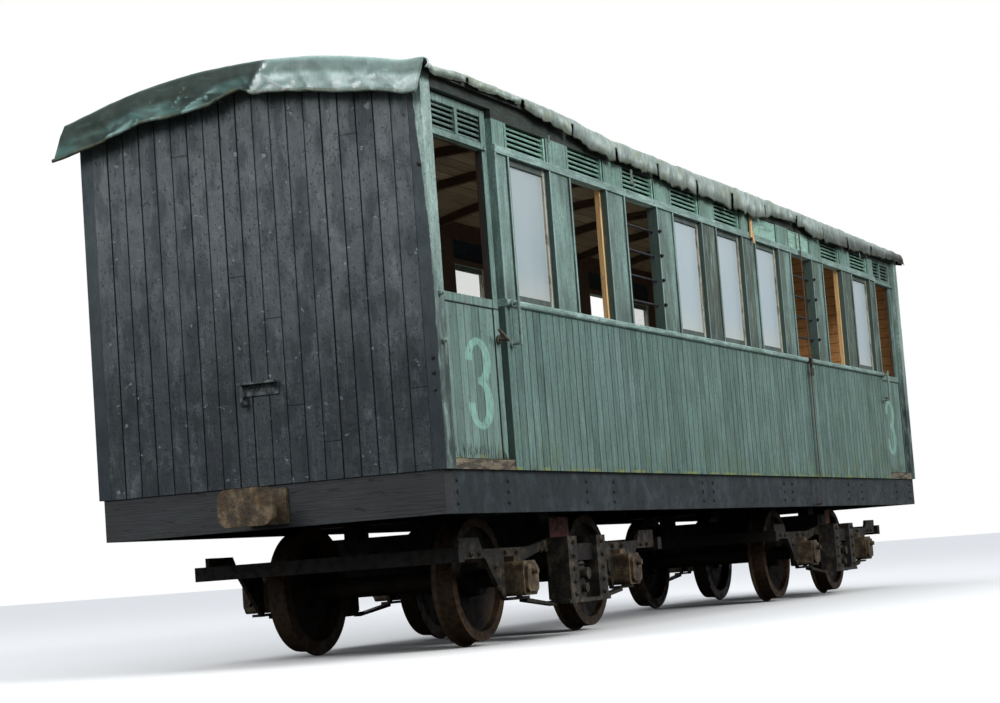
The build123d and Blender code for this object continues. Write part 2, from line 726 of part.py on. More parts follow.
def make_door():
    """Near front door leaf on its corner post: lower half, stiles, head with its vent, and drip strip."""
    left = -DOORWAY_OUT + LEAF_GAP
    right = -DOORWAY_IN - LEAF_GAP
    through = (LEAF_FACE - 1, LEAF_BACK + 1)
    light_x = (left + STILE_W, right - STILE_W)
    light_low = SILL_Z - SILL_RAIL_DROP
    leaf = span((left, right), (LEAF_FACE, LEAF_BACK), (LEAF_LOW, LEAF_HIGH))
    leaf -= span(light_x, through, (light_low, TRANSOM_Z))
    leaf -= span(light_x, through, (VENT_Z, VENT_TOP))
    panel_x = (left + PANEL_LAP, light_x[1])
    panel_top = light_low - DOOR_RAIL_H
    leaf -= span(panel_x, (LEAF_FACE + PANEL_T, LEAF_BACK + 1), (LEAF_LOW + DOOR_RAIL_H, panel_top))
    leaf -= span(panel_x, (LEAF_FACE - 1, LEAF_FACE + PANEL_SINK), (LEAF_LOW - 1, panel_top))
    middle = (light_x[0] + light_x[1]) / 2
    leaf += span(about(middle, MULLION_W), (LEAF_FACE, LEAF_FACE + VENT_T), (VENT_Z, VENT_TOP))
    leaf += make_slats(middle, light_x[1] - light_x[0], LEAF_FACE + VENT_T / 2)
    drip_z = (TRANSOM_Z + DRIP_UP, TRANSOM_Z + DRIP_UP + DRIP_H)
    drip = span((left, right - DRIP_SHORT), (LEAF_FACE - DRIP_OUT, LEAF_FACE - SEAT), drip_z)
    for at in hinge_heights():
        z = (at + SEAT / 2, at + KNUCKLE_L / 2)
        leaf += cylinder_z(KNUCKLE_R, HINGE_X, HINGE_Y, z[0], z[1])
        leaf += span((HINGE_X, left + HINGE_PLATE_W), (LEAF_BACK, LEAF_BACK + HINGE_PLATE_T), z)
        leaf -= cylinder_z(HINGE_PIN_R + PIN_GAP, HINGE_X, HINGE_Y, at - KNUCKLE_L, at + KNUCKLE_L)
    joint_y = (LEAF_FACE - 1, HINGE_Y + KNUCKLE_R + 1)
    leaf -= span((left - 1, right + 1), joint_y, (light_low - SEAT, light_low))
    for x in ((light_x[0], light_x[0] + SEAT), (light_x[1] - SEAT, light_x[1])):
        leaf -= span(x, joint_y, (light_low - SEAT, LEAF_HIGH + 1))
    return leaf.solids() + [drip]


def make_handle():
    """Lever handle of the near front door, with its rose and spindle."""
    x = -DOORWAY_IN - LEAF_GAP - STILE_W / 2
    z = WAIST_Z - LEVER_DROP
    rose_face = LEAF_FACE - ROSE_T
    lever_y = LEAF_FACE - LEVER_OUT
    handle = cylinder_y(ROSE_R, x, z, rose_face, LEAF_FACE)
    handle += cylinder_y(SPINDLE_R, x, z, lever_y, rose_face)
    arm = Pos(0, 0, LEVER_L / 2 - LEVER_HEEL) * Cylinder(LEVER_R, LEVER_L)
    return handle + Pos(x, lever_y, z) * Rot(0, -LEVER_LEAN, 0) * arm


def make_ends():
    """Corner posts, door sills, the hinges' fixed halves and the boarded end walls."""
    envelope = under_roof(SEAT)
    post = span((-HALF_L, -DOORWAY_OUT), (-HALF_W, -HALF_W + CORNER_D), (BODY_Z, ABOVE_ROOF)) & envelope
    sill = span((-DOORWAY_OUT, -DOORWAY_IN), (-HALF_W + SILL_SET, -INNER), (BODY_Z, BODY_Z + SILL_H))
    half = HALF_W - CORNER_D
    wall = span((-HALF_L, -HALF_L + END_T), (-half, half), (BODY_Z, ABOVE_ROOF)) & envelope
    wall -= [
        span(
            (-HALF_L - 1, -HALF_L + GROOVE_D),
            about(-half + 2 * half * i / END_PLANKS, GROOVE_W),
            (BODY_Z - 1, ABOVE_ROOF + 1),
        )
        for i in range(1, END_PLANKS)
    ]
    return {
        "corner_posts": both_sides(both_ends([post])),
        "door_hinges": both_sides(both_ends(make_hinges())),
        "door_sills": both_sides(both_ends([sill])),
        "end_front": [wall],
        "end_rear": [mirror(wall, about=Plane.YZ)],
    }


def make_roof():
    """Arched boards on their ribs, and the cloth over them with its hanging edges."""
    boards = arch(ROOF_HALF, EAVE_Z + ROOF_T, EAVE_Z, ROOF_END)
    boards -= arch(ROOF_HALF + 1, EAVE_Z, 0, ROOF_END + 1)
    ribs = []
    for i in range(1, BAYS):
        x = -HALF_L + BAY * i
        rib = span(about(x, RIB_W), (-INNER, INNER), (BODY_Z, ABOVE_ROOF)) & under_roof(SEAT)
        ribs.append(rib - under_roof(RIB_D))
    inside = ROOF_HALF + CANVAS_GAP
    outside = inside + CANVAS_T
    end_in = ROOF_END + CANVAS_GAP
    end_out = end_in + CANVAS_T
    band_low = CANVAS_TOP - CANVAS_END_BAND
    skirt = arch(outside, CANVAS_TOP, CANVAS_LOW, end_in) - arch(inside, CANVAS_TOP - CANVAS_T, 0, end_in)
    end_bands = arch(outside, CANVAS_TOP, band_low, end_out)
    end_bands -= arch(outside + 1, band_low, 0, end_out + 1)
    end_bands -= arch(outside + 1, CANVAS_TOP + ROOF_RISE, 0, end_in)
    return {"roof_boards": [boards], "roof_ribs": ribs, "roof_canvas": [skirt + end_bands]}


def make_grab_rails():
    """Short upright rails beside the doorways, on round bosses."""
    rails = []
    high = SILL_Z + GRAB_RISE
    low = high - GRAB_L
    out = -HALF_W - GRAB_OUT
    for x in (-DOORWAY_IN + GRAB_FROM_EDGE, DOORWAY_IN - GRAB_FROM_EDGE):
        rail = cylinder_z(GRAB_R, x, out, low, high)
        for at, foot in ((low + GRAB_R, -HALF_W), (high - GRAB_R - GRAB_END, -HALF_W - BEAD_OUT)):
            rail += cylinder_y(GRAB_R, x, at, out, foot)
            rail += cylinder_y(GRAB_BOSS_R, x, at, foot - GRAB_BOSS_T, foot)
        rails.append(rail)
    return both_sides(rails)


def make_coupler():
    """Front centre buffer and drawbar on the headstock, bored for an upright pin."""
    face = -HEADSTOCK_FACE
    shank = span((face - COUPLER_OUT, face), about(0, COUPLER_SHANK), about(COUPLER_Z, COUPLER_SHANK))
    head_x = (face - COUPLER_OUT - BUFFER_T, face - COUPLER_OUT)
    head = span(head_x, about(0, BUFFER_W), about(COUPLER_Z, BUFFER_H))
    head = fillet(head.edges().filter_by(Axis.X), BUFFER_CORNER)
    back = span((face - COUPLER_PLATE_T, face), about(0, COUPLER_PLATE_W), about(COUPLER_Z, COUPLER_PLATE_H))
    pin_z = about(COUPLER_Z, COUPLER_SHANK + 2)
    return shank + head + back - cylinder_z(COUPLER_PIN_R, face - COUPLER_PIN_AT, 0, pin_z[0], pin_z[1])


def make_end_shelf():
    """Small iron shelf on the front end, with a ring hanging under it."""
    low = SOLE_Z + SHELF_UP
    width = about(0, SHELF_W)
    shelf = span((-HALF_L - SHELF_D, -HALF_L), width, (low, low + SHELF_T))
    shelf += span((-HALF_L - SHELF_BACK_T, -HALF_L), width, (low - SHELF_BACK_H, low))
    x = -HALF_L - SHELF_D + RING_R
    y = SHELF_W / 2 - HOOK_FROM_EDGE
    shelf += cylinder_z(HOOK_R, x, y, low - HOOK_L, low)
    z = low - HOOK_L - RING_HOLE_R
    ring = cylinder_y(RING_R, x, z, y - HOOK_R, y + HOOK_R)
    return shelf + (ring - cylinder_y(RING_HOLE_R, x, z, y - HOOK_R - 1, y + HOOK_R + 1))


def make_strap():
    """Flat strap that ties the roof cover down to the near solebar."""
    y_in = -HALF_W - TRANSOM_RAIL_OUT - STRAP_CLEAR
    width = about(STRAP_X, STRAP_W)
    low = SOLE_Z + STRAP_FOOT_UP
    strap = span(width, (y_in - STRAP_T, y_in), (low, CANVAS_LOW - STRAP_T))
    return strap + span(width, (y_in - STRAP_T, -SOLE_OUT), (low, low + STRAP_FOOT_T))


def make_body():
    """Every fixed piece of the coach body and underframe, by node."""
    nodes = {}
    nodes.update(make_underframe())
    nodes.update(make_side_frame())
    nodes.update(make_windows())
    nodes.update(make_ends())
    nodes.update(make_roof())
    nodes["grab_rails"] = make_grab_rails()
    nodes["couplers"] = both_ends([make_coupler()])
    nodes["end_shelf"] = [make_end_shelf()]
    nodes["tie_strap"] = [make_strap()]
    return nodes


def main():
    os.makedirs("parts", exist_ok=True)
    for node, solids in make_body().items():
        write(node, solids)
    for name, x in (("front", -BOGIE_X), ("rear", BOGIE_X)):
        for piece, solids in make_bogie(x).items():
            write("bogie_" + name + "_" + piece, solids)
        for end, at in (("outer", math.copysign(AXLE_AT, x)), ("inner", -math.copysign(AXLE_AT, x))):
            write("wheelset_" + name + "_" + end, [make_wheelset(x + at)])
    near_front = {"": make_door(), "_handle": [make_handle()]}
    for suffix, solids in near_front.items():
        far_front = [mirror(s, about=Plane.XZ) for s in solids]
        write("door_near_front" + suffix, solids)
        write("door_near_rear" + suffix, [mirror(s, about=Plane.YZ) for s in solids])
        write("door_far_front" + suffix, far_front)
        write("door_far_rear" + suffix, [mirror(s, about=Plane.YZ) for s in far_front])


main()
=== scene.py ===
"""Looks of the narrow-gauge passenger coach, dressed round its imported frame. All sizes are in metres."""

import logging
import math
import random
from dataclasses import dataclass
from enum import Enum

import bpy
from mathutils import Matrix, Vector, noise


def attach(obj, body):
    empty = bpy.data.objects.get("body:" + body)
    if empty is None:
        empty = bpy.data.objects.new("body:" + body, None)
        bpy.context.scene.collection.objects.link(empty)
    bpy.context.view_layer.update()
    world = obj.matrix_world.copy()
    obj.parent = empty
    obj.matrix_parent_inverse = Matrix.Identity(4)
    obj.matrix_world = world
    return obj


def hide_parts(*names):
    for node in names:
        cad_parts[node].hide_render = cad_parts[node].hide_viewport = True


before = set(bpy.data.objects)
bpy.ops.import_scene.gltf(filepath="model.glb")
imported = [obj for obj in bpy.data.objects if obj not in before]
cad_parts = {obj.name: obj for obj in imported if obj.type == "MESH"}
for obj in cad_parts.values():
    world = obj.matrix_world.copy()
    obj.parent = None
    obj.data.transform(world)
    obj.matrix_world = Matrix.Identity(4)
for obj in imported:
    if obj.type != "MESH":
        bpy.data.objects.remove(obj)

LOG = logging.getLogger("coach")
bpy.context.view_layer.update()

# Sizes of the coach that the pieces follow, the same as in its CAD
HALF_L = 4.975
HALF_W = 1.065
INNER = 1.005
BAY = 9.95 / 11
SOLE_Z = 0.730
BODY_Z = 0.960
SILL_Z = 1.908
TRANSOM_Z = 2.728
VENT_Z = 2.772
VENT_TOP = 2.920
SOLE_OUT = 1.040
RAIL_Z = 0.025
BOGIE_X = 2.850
AXLE_AT = 0.825
AXLE_Z = 0.3805
RIM_R = 0.292
FRAME_FACE = 0.800

# From the middle of a window bay: edge of the pane, putty, reveal, quirk beside the bead, nuts of the bars
PANE_EDGE = 0.238
PUTTY = (0.236, 0.270)
REVEAL = (0.2830, 0.2890)
QUIRK = (0.3085, 0.3190)
BAR_NUT = 0.300

# From the middle of the coach: panels and vents of the doors, their outer joint and the middle of their figures
PANEL = (4.175, 4.822)
DOOR_VENT = (4.175, 4.785)
LEAF_JOINT = 4.849
FIGURE_X = 4.407
PANEL_TOP = 1.848
LEAF_FOOT = 1.022

ENDS = (("front", -1.0), ("rear", 1.0))
SIDES = (("near", -1.0), ("far", 1.0))
NEAR = Vector((0.0, -1.0, 0.0))
FAR = Vector((0.0, 1.0, 0.0))
FRONT = Vector((-1.0, 0.0, 0.0))


def linear(code: str) -> tuple[float, float, float, float]:
    """Turn an sRGB hex colour into the linear colour that a node takes.

    Args:
        code: six hex digits.

    Returns:
        Red, green, blue and an alpha of one.
    """
    values = [int(code[i : i + 2], 16) / 255 for i in (0, 2, 4)]
    return (*(v / 12.92 if v <= 0.04045 else ((v + 0.055) / 1.055) ** 2.4 for v in values), 1.0)


def add_node(tree: bpy.types.NodeTree, kind: str, links: dict | None = None, **settings: object) -> bpy.types.Node:
    """Add a node to a tree.

    Args:
        tree: the tree that takes the node.
        kind: the node's type.
        links: what goes into each input, by name or number: a value, an output, or a node's first live output.
        settings: the node's own settings.

    Returns:
        The node.
    """
    node = tree.nodes.new(kind)
    for name, value in settings.items():
        setattr(node, name, value)
    for key, value in (links or {}).items():
        if isinstance(value, bpy.types.Node):
            value = next(s for s in value.outputs if s.enabled)
        if isinstance(value, bpy.types.NodeSocket):
            tree.links.new(value, node.inputs[key])
        else:
            node.inputs[key].default_value = value
    return node


class Axis(Enum):
    """Direction in the coach's frame, with the stretch that a grain running that way has."""

    ALONG = (0, (1.0, 0.0, 0.0))
    ACROSS = (1, (0.0, 1.0, 0.0))
    UP = (2, (0.0, 0.0, 1.0))

    def grain(self, length: float) -> tuple[float, float, float]:
        """Stretch of a pattern drawn out along this axis."""
        return tuple(1.0 + (length - 1.0) * share for share in self.value[1])


@dataclass(frozen=True)
class Boards:
    """A run of like boards: the axis across them, where the first starts, their width and their joints."""

    across: Axis
    start: float
    pitch: float
    joint: float = 0.006


class Surface:
    """A material while it is put together, on the piece's own coordinates in metres."""

    def __init__(self, name: str) -> None:
        """Start an empty material of that name."""
        self.material = bpy.data.materials.new(name)
        self.material.use_nodes = True
        self.tree = self.material.node_tree
        self.tree.nodes.clear()
        self.point = add_node(self.tree, "ShaderNodeTexCoord").outputs["Object"]
        self.axes = add_node(self.tree, "ShaderNodeSeparateXYZ", {"Vector": self.point}).outputs

    def patches(
        self,
        size: float,
        cover: float,
        stretch: tuple[float, float, float] = (1.0, 1.0, 1.0),
        soft: float = 0.06,
        seed: float = 0.0,
        detail: float = 4.0,
    ) -> bpy.types.Node:
        """Irregular patches on part of the surface.

        Args:
            size: about how wide a patch is, in metres.
            cover: share of the surface under the patches.
            stretch: how far a patch is drawn out along each axis.
            soft: how softly a patch ends.
            seed: shift that makes this pattern differ from others.
            detail: how rugged the patches are.

        Returns:
            A node whose value is 1 in the patches and 0 between them.
        """
        scale = tuple(1.0 / (size * s) for s in stretch)
        shift = (seed * 7.31, seed * 3.77, seed * 5.13)
        place = add_node(self.tree, "ShaderNodeMapping", {"Vector": self.point, "Location": shift, "Scale": scale})
        links = {"Vector": place, "Scale": 1.0, "Detail": detail, "Roughness": 0.6}
        cloud = add_node(self.tree, "ShaderNodeTexNoise", links)
        edge = 0.5 + 0.36 * (0.5 - cover)
        ends = {"Value": cloud.outputs[0], "From Min": edge - soft, "From Max": edge + soft}
        return add_node(self.tree, "ShaderNodeMapRange", ends, interpolation_type="SMOOTHSTEP")

    def zone(
        self, value: object, low: float = -99.0, high: float = 99.0, soft: float = 0.01, size: bool = False
    ) -> bpy.types.Node:
        """Mask that is 1 where a value lies between two limits.

        Args:
            value: output that is judged.
            low: lower limit.
            high: upper limit.
            soft: distance over which the mask fades.
            size: judge the value without its sign.

        Returns:
            The mask.
        """
        if size:
            value = add_node(self.tree, "ShaderNodeMath", {0: value}, operation="ABSOLUTE")
        rise = {"Value": value, "From Min": low - soft, "From Max": low + soft}
        fall = {"Value": value, "From Min": high + soft, "From Max": high - soft}
        up = add_node(self.tree, "ShaderNodeMapRange", rise, interpolation_type="SMOOTHSTEP")
        down = add_node(self.tree, "ShaderNodeMapRange", fall, interpolation_type="SMOOTHSTEP")
        return add_node(self.tree, "ShaderNodeMath", {0: up, 1: down}, operation="MULTIPLY")

    def coat(self, below: object, colour: object, strength: float, *masks: object) -> bpy.types.NodeSocket:
        """Lay a colour over what is there, where every mask lets it.

        Args:
            below: colour underneath.
            colour: hex code or output of the colour on top.
            strength: how opaque it is.
            masks: outputs from 0 to 1.

        Returns:
            The mixed colour.
        """
        factor: object = strength
        for mask in masks:
            factor = add_node(self.tree, "ShaderNodeMath", {0: mask, 1: factor}, operation="MULTIPLY")
        top = linear(colour) if isinstance(colour, str) else colour
        under = linear(below) if isinstance(below, str) else below
        return add_node(self.tree, "ShaderNodeMix", {0: factor, 6: under, 7: top}, data_type="RGBA").outputs[2]

    def coats(self, colour: object, *rows: tuple) -> object:
        """Lay several colours over what is there, one after the other.

        Args:
            colour: colour underneath.
            rows: for each coat its colour, how opaque it is, and its masks.

        Returns:
            The mixed colour.
        """
        for top, strength, *masks in rows:
            colour = self.coat(colour, top, strength, *masks)
        return colour

    def relief(self, *layers: tuple[object, float]) -> bpy.types.Node:
        """Bump from masks that each raise the surface by a height in metres.

        Args:
            layers: pairs of mask and height, negative to sink.

        Returns:
            The bump node.
        """
        height: object = 0.0
        for mask, rise in layers:
            height = add_node(self.tree, "ShaderNodeMath", {0: mask, 1: rise, 2: height}, operation="MULTIPLY_ADD")
        return add_node(self.tree, "ShaderNodeBump", {"Height": height, "Distance": 1.0})

    def board_place(self, run: Boards) -> tuple[bpy.types.Node, bpy.types.NodeSocket]:
        """Where a point lies in a run of boards.

        Args:
            run: the boards.

        Returns:
            The place across the run, counted in boards, and a tone that differs from board to board.
        """
        across = self.axes[run.across.value[0]]
        moved = add_node(self.tree, "ShaderNodeMath", {0: across, 1: run.start}, operation="SUBTRACT")
        place = add_node(self.tree, "ShaderNodeMath", {0: moved, 1: run.pitch}, operation="DIVIDE")
        number = add_node(self.tree, "ShaderNodeMath", {0: place}, operation="FLOOR")
        tone = add_node(self.tree, "ShaderNodeTexWhiteNoise", {"W": number}, noise_dimensions="1D")
        return place, tone.outputs["Value"]

    def boards(self, run: Boards) -> tuple[object, object, object]:
        """Patterns of a run of boards.

        Args:
            run: the boards.

        Returns:
            A tone that differs from board to board, a mask of the joints, and a mask of the centre beads.
        """
        place, tone = self.board_place(run)
        half = run.joint / run.pitch / 2
        lines = []
        for shift, low, high, seed in ((0.0, 0.30, 1.35, 31.7), (0.5, -0.90, 0.85, 57.3)):
            at = add_node(self.tree, "ShaderNodeMath", {0: place, 1: shift}, operation="ADD")
            near = add_node(self.tree, "ShaderNodeMath", {0: at, 1: 0.5}, operation="PINGPONG")
            nearest = add_node(self.tree, "ShaderNodeMath", {0: at, 1: seed}, operation="ADD")
            which = add_node(self.tree, "ShaderNodeMath", {0: nearest}, operation="ROUND")
            chance = add_node(self.tree, "ShaderNodeTexWhiteNoise", {"W": which}, noise_dimensions="1D")
            ends = {"Value": chance.outputs["Value"], "To Min": low, "To Max": high}
            strength = add_node(self.tree, "ShaderNodeMapRange", ends)
            edge = {"Value": near, "From Min": half * 1.6, "From Max": half * 0.5}
            line = add_node(self.tree, "ShaderNodeMapRange", edge, interpolation_type="SMOOTHSTEP")
            lines.append(add_node(self.tree, "ShaderNodeMath", {0: line, 1: strength}, operation="MULTIPLY"))
        return tone, lines[0], lines[1]

    def bay_offset(self) -> bpy.types.Node:
        """Signed distance along the coach from the middle of the nearest window bay.

        Returns:
            The node that gives it.
        """
        moved = add_node(self.tree, "ShaderNodeMath", {0: self.axes[0], 1: HALF_L}, operation="ADD")
        place = add_node(self.tree, "ShaderNodeMath", {0: moved, 1: BAY}, operation="DIVIDE")
        share = add_node(self.tree, "ShaderNodeMath", {0: place}, operation="FRACT")
        return add_node(self.tree, "ShaderNodeMath", {0: share, 1: BAY, 2: -BAY / 2}, operation="MULTIPLY_ADD")

    def bay_distance(self) -> bpy.types.Node:
        """Distance along the coach from the middle of the nearest window bay."""
        return add_node(self.tree, "ShaderNodeMath", {0: self.bay_offset()}, operation="ABSOLUTE")

    def finish(
        self, colour: object, roughness: object, normal: object = None, **constants: float
    ) -> bpy.types.Material:
        """Close the material with its shader.

        Args:
            colour: base colour.
            roughness: value or output.
            normal: bump node, if any.
            constants: the shader's other inputs by name, with _ for a space.

        Returns:
            The material.
        """
        links = {"Base Color": linear(colour) if isinstance(colour, str) else colour, "Roughness": roughness}
        if normal is not None:
            links["Normal"] = normal
        links.update({name.replace("_", " "): value for name, value in constants.items()})
        shader = add_node(self.tree, "ShaderNodeBsdfPrincipled", links)
        add_node(self.tree, "ShaderNodeOutputMaterial", {"Surface": shader})
        return self.material


@dataclass(frozen=True)
class Figure:
    """Class figure 3 painted on a door, of two open bowls: its middle along the coach and the side it faces."""

    middle: float
    facing: float
    half_width: float = 0.160
    low: float = 1.179
    waist: float = 1.440
    high: float = 1.674
    upright: float = 0.090
    level: float = 0.037
    overlap: float = 0.018
    offset: float = -0.006
    mouth: float = -0.020

    def mask(self, surface: Surface) -> bpy.types.Node:
        """Paint mask of the figure, upright and the right way round for whoever looks at its side.

        Args:
            surface: material that takes it.

        Returns:
            A node that is 1 on the figure.
        """
        tree = surface.tree
        centred = add_node(tree, "ShaderNodeMath", {0: surface.axes[0], 1: self.middle}, operation="SUBTRACT")
        side = add_node(tree, "ShaderNodeMath", {0: centred, 1: self.facing}, operation="MULTIPLY")
        bowls = []
        for low, high, open_low in (
            (self.waist - self.overlap, self.high, True),
            (self.low, self.waist + self.overlap, False),
        ):
            middle, half = (low + high) / 2, (high - low) / 2
            rise = add_node(tree, "ShaderNodeMath", {0: surface.axes[2], 1: middle}, operation="SUBTRACT")
            rings = []
            for wide, tall, shift in (
                (self.half_width, half, 0.0),
                (self.half_width - self.upright, half - self.level, self.offset),
            ):
                across = add_node(tree, "ShaderNodeMath", {0: side, 1: shift}, operation="SUBTRACT")
                x = add_node(tree, "ShaderNodeMath", {0: across, 1: wide}, operation="DIVIDE")
                z = add_node(tree, "ShaderNodeMath", {0: rise, 1: tall}, operation="DIVIDE")
                spot = add_node(tree, "ShaderNodeCombineXYZ", {"X": x, "Y": z})
                length = add_node(tree, "ShaderNodeVectorMath", {0: spot}, operation="LENGTH").outputs["Value"]
                rings.append(surface.zone(length, high=1.0, soft=0.035))
            ring = add_node(tree, "ShaderNodeMath", {0: rings[0], 1: rings[1]}, operation="SUBTRACT")
            left = surface.zone(side, high=self.mouth, soft=0.004)
            gap = {"high": 0.0} if open_low else {"low": 0.0}
            quarter = surface.zone(rise, soft=0.004, **gap)
            cut = add_node(tree, "ShaderNodeMath", {0: left, 1: quarter}, operation="MULTIPLY")
            bowls.append(add_node(tree, "ShaderNodeMath", {0: ring, 1: cut}, operation="SUBTRACT", use_clamp=True))
        return add_node(tree, "ShaderNodeMath", {0: bowls[0], 1: bowls[1]}, operation="MAXIMUM")


@dataclass(frozen=True)
class AgedPaint:
    """Old oil paint brushed on softwood. It is chalky and streaked, with grain, chips, dirt in joints and moss."""

    name: str
    paint: str
    faded: str
    deep: str
    bare: str = "6f685b"
    dirt: str = "16211e"
    moss: str = "4f5e3c"
    back: str = "43322a"
    damp: str = "445548"
    algae: str = "5f7556"
    rot: str = "0b0e0c"
    lichen: str = "7d8446"
    numeral: str = "8cbcac"
    weathered: str = "3f4741"
    grey_wood: str = "626c60"
    dark_wood: str = "22231d"
    crown: str = ""
    grain: Axis = Axis.UP
    run: Boards | None = None
    moss_top: float = 1.15
    moss_share: float = 0.35
    chips: float = 0.10
    lost: float = 0.0
    roughness: float = 0.66
    framed: bool = False
    tarred: bool = False
    figure: Figure | None = None
    panel: tuple[float, float, float] | None = None
    panel_paint: str = ""
    foot: float = BODY_Z
    putty: str = ""
    painted_sky_sheen: str = ""
    weather: tuple[tuple[float, float, float], ...] = ()

    def build(self) -> bpy.types.Material:
        """Make the material.

        Returns:
            The material.
        """
        s = Surface(self.name)
        along, across, up = s.axes[0], s.axes[1], s.axes[2]
        broad = s.patches(0.40, 0.5, Axis.UP.grain(1.8), soft=0.22, seed=1.0)
        middle = s.patches(0.07, 0.45, self.grain.grain(4.0), soft=0.12, seed=2.0)
        fibre = s.patches(0.009, 0.5, self.grain.grain(16.0), soft=0.14, seed=3.0, detail=6.0)
        streak = s.patches(0.020, 0.36, self.grain.grain(14.0), soft=0.08, seed=4.0, detail=6.0)
        flakes = s.patches(0.026, self.chips, self.grain.grain(3.0), soft=0.025, seed=5.0, detail=8.0)
        specks = s.patches(0.010, 0.09, self.grain.grain(2.0), soft=0.03, seed=9.0, detail=3.0)
        mottle = s.patches(0.013, 0.5, self.grain.grain(1.6), soft=0.14, seed=27.0, detail=3.0)
        wet = s.patches(0.30, 0.30, Axis.UP.grain(1.6), soft=0.10, seed=47.0)
        growth = s.patches(0.09, self.moss_share, Axis.UP.grain(2.0), soft=0.10, seed=6.0, detail=7.0)
        sheen = s.patches(0.15, 0.5, soft=0.2, seed=7.0)
        layers: list[tuple[object, float]] = [(fibre, 0.0007), (flakes, -0.0012), (middle, 0.0006), (specks, -0.0008)]
        colour: object = linear(self.paint)
        if self.crown:
            colour = s.coat(colour, self.crown, 0.9, s.zone(up, low=TRANSOM_Z - 0.004, soft=0.004))
        within = self.panel_mask(s) if self.panel else None
        if self.panel:
            colour = s.coat(colour, self.panel_paint, 1.0, within)
        colour = s.coat(colour, self.faded, 0.50, broad)
        # Painted sheen of the sky that pales the boards towards the rear, then real algae near the rear end
        if self.painted_sky_sheen:
            colour = s.coats(
                colour,
                (self.painted_sky_sheen, 0.62, s.zone(along, low=-0.2, soft=1.6)),
                (self.algae, 0.36, s.zone(along, low=3.4, soft=0.9)),
            )
        colour = s.coats(
            colour, (self.deep, 0.50, middle), (self.damp, 0.34, wet), (self.deep, 0.34, fibre),
            (self.deep, 0.46, mottle), (self.dirt, 0.30, streak),
        )
        if self.run:
            colour, layers = self.jointed(s, colour, layers, within)
        if self.lost:
            colour = self.bared(s, colour)
        if self.putty:
            ragged = s.patches(0.030, 0.80, Axis.UP.grain(4.0), soft=0.12, seed=43.0, detail=7.0)
            colour = s.coat(colour, self.putty, 0.80, s.zone(s.bay_offset(), *PUTTY, 0.003), ragged)
        if self.framed:
            colour = self.grooved(s, colour)
        if self.figure:
            worn = s.patches(0.014, 0.72, (1.0, 1.0, 5.0), soft=0.20, seed=8.0, detail=7.0)
            colour = s.coat(colour, self.numeral, 0.74, self.figure.mask(s), worn)
        colour = s.coats(
            colour,
            (self.moss, 0.60, growth, s.zone(up, high=self.moss_top, soft=0.22)),
            (self.moss, 0.26, growth, s.zone(along, low=-0.5, soft=2.2)),
            (self.bare, 0.65, flakes),
            (self.dirt, 0.55, specks),
        )
        if self.tarred:
            colour = self.tar(s, colour)
        inner = s.zone(across, high=INNER + 0.003, soft=0.002, size=True)
        colour = s.coat(colour, self.back, 0.95, inner, s.zone(along, high=HALF_L - 0.004, soft=0.001, size=True))
        ends = {"Value": sheen, "To Min": self.roughness - 0.10, "To Max": self.roughness + 0.14}
        rough = add_node(s.tree, "ShaderNodeMapRange", ends)
        return s.finish(colour, rough, s.relief(*layers), Specular_IOR_Level=0.35)

    def panel_mask(self, s: Surface) -> bpy.types.Node:
        """Mask of a door's boarded panel.

        Args:
            s: the material.

        Returns:
            A node that is 1 on the panel.
        """
        low, high, top = self.panel
        inside = s.zone(s.axes[0], low, high, 0.002, size=True)
        under = s.zone(s.axes[2], high=top, soft=0.002)
        return add_node(s.tree, "ShaderNodeMath", {0: inside, 1: under}, operation="MULTIPLY")

    def jointed(self, s: Surface, colour: object, layers: list, within: bpy.types.Node | None) -> tuple[object, list]:
        """Boards of differing tone with dirt in their joints, and rot at their feet.

        Args:
            s: the material.
            colour: colour underneath.
            layers: relief so far.
            within: mask of the part that is boarded, if not all is.

        Returns:
            The colour and the relief.
        """
        tone, joints, beads = s.boards(self.run)
        masks = [within] if self.panel else []
        tones = ((self.faded, 0.20, tone, *masks), (self.deep, 0.26, s.zone(tone, high=0.28, soft=0.1), *masks))
        if self.panel:
            joints, beads = (
                add_node(s.tree, "ShaderNodeMath", {0: line, 1: within}, operation="MULTIPLY")
                for line in (joints, beads)
            )
        rot_share, rot_top = (0.42, 0.060) if self.panel else (0.30, 0.020)
        smear = s.patches(0.030, 0.30, Axis.UP.grain(9.0), soft=0.10, seed=10.0, detail=6.0)
        rot = s.patches(0.018, rot_share, Axis.UP.grain(6.0), soft=0.03, seed=18.0, detail=6.0)
        colour = s.coats(
            colour, *tones, (self.dirt, 0.66, joints), (self.dirt, 0.50, beads), (self.dirt, 0.20, smear),
            (self.rot, 0.92, rot, s.zone(s.axes[2], high=self.foot + rot_top, soft=0.035)),
        )
        if self.panel:
            low, high, top = self.panel
            for value, place in ((s.axes[0], high), (s.axes[0], low), (s.axes[0], LEAF_JOINT), (s.axes[2], top)):
                line = s.zone(value, place - 0.005, place + 0.005, 0.002, size=True)
                colour = s.coat(colour, self.dirt, 0.85, line)
        foot = s.zone(s.axes[2], high=self.foot + 0.016, soft=0.008)
        crust = s.patches(0.09, 0.45, Axis.ALONG.grain(2.0), soft=0.08, seed=19.0)
        return s.coat(colour, self.lichen, 0.75, foot, crust), layers + [(joints, -0.0040), (beads, -0.0028)]

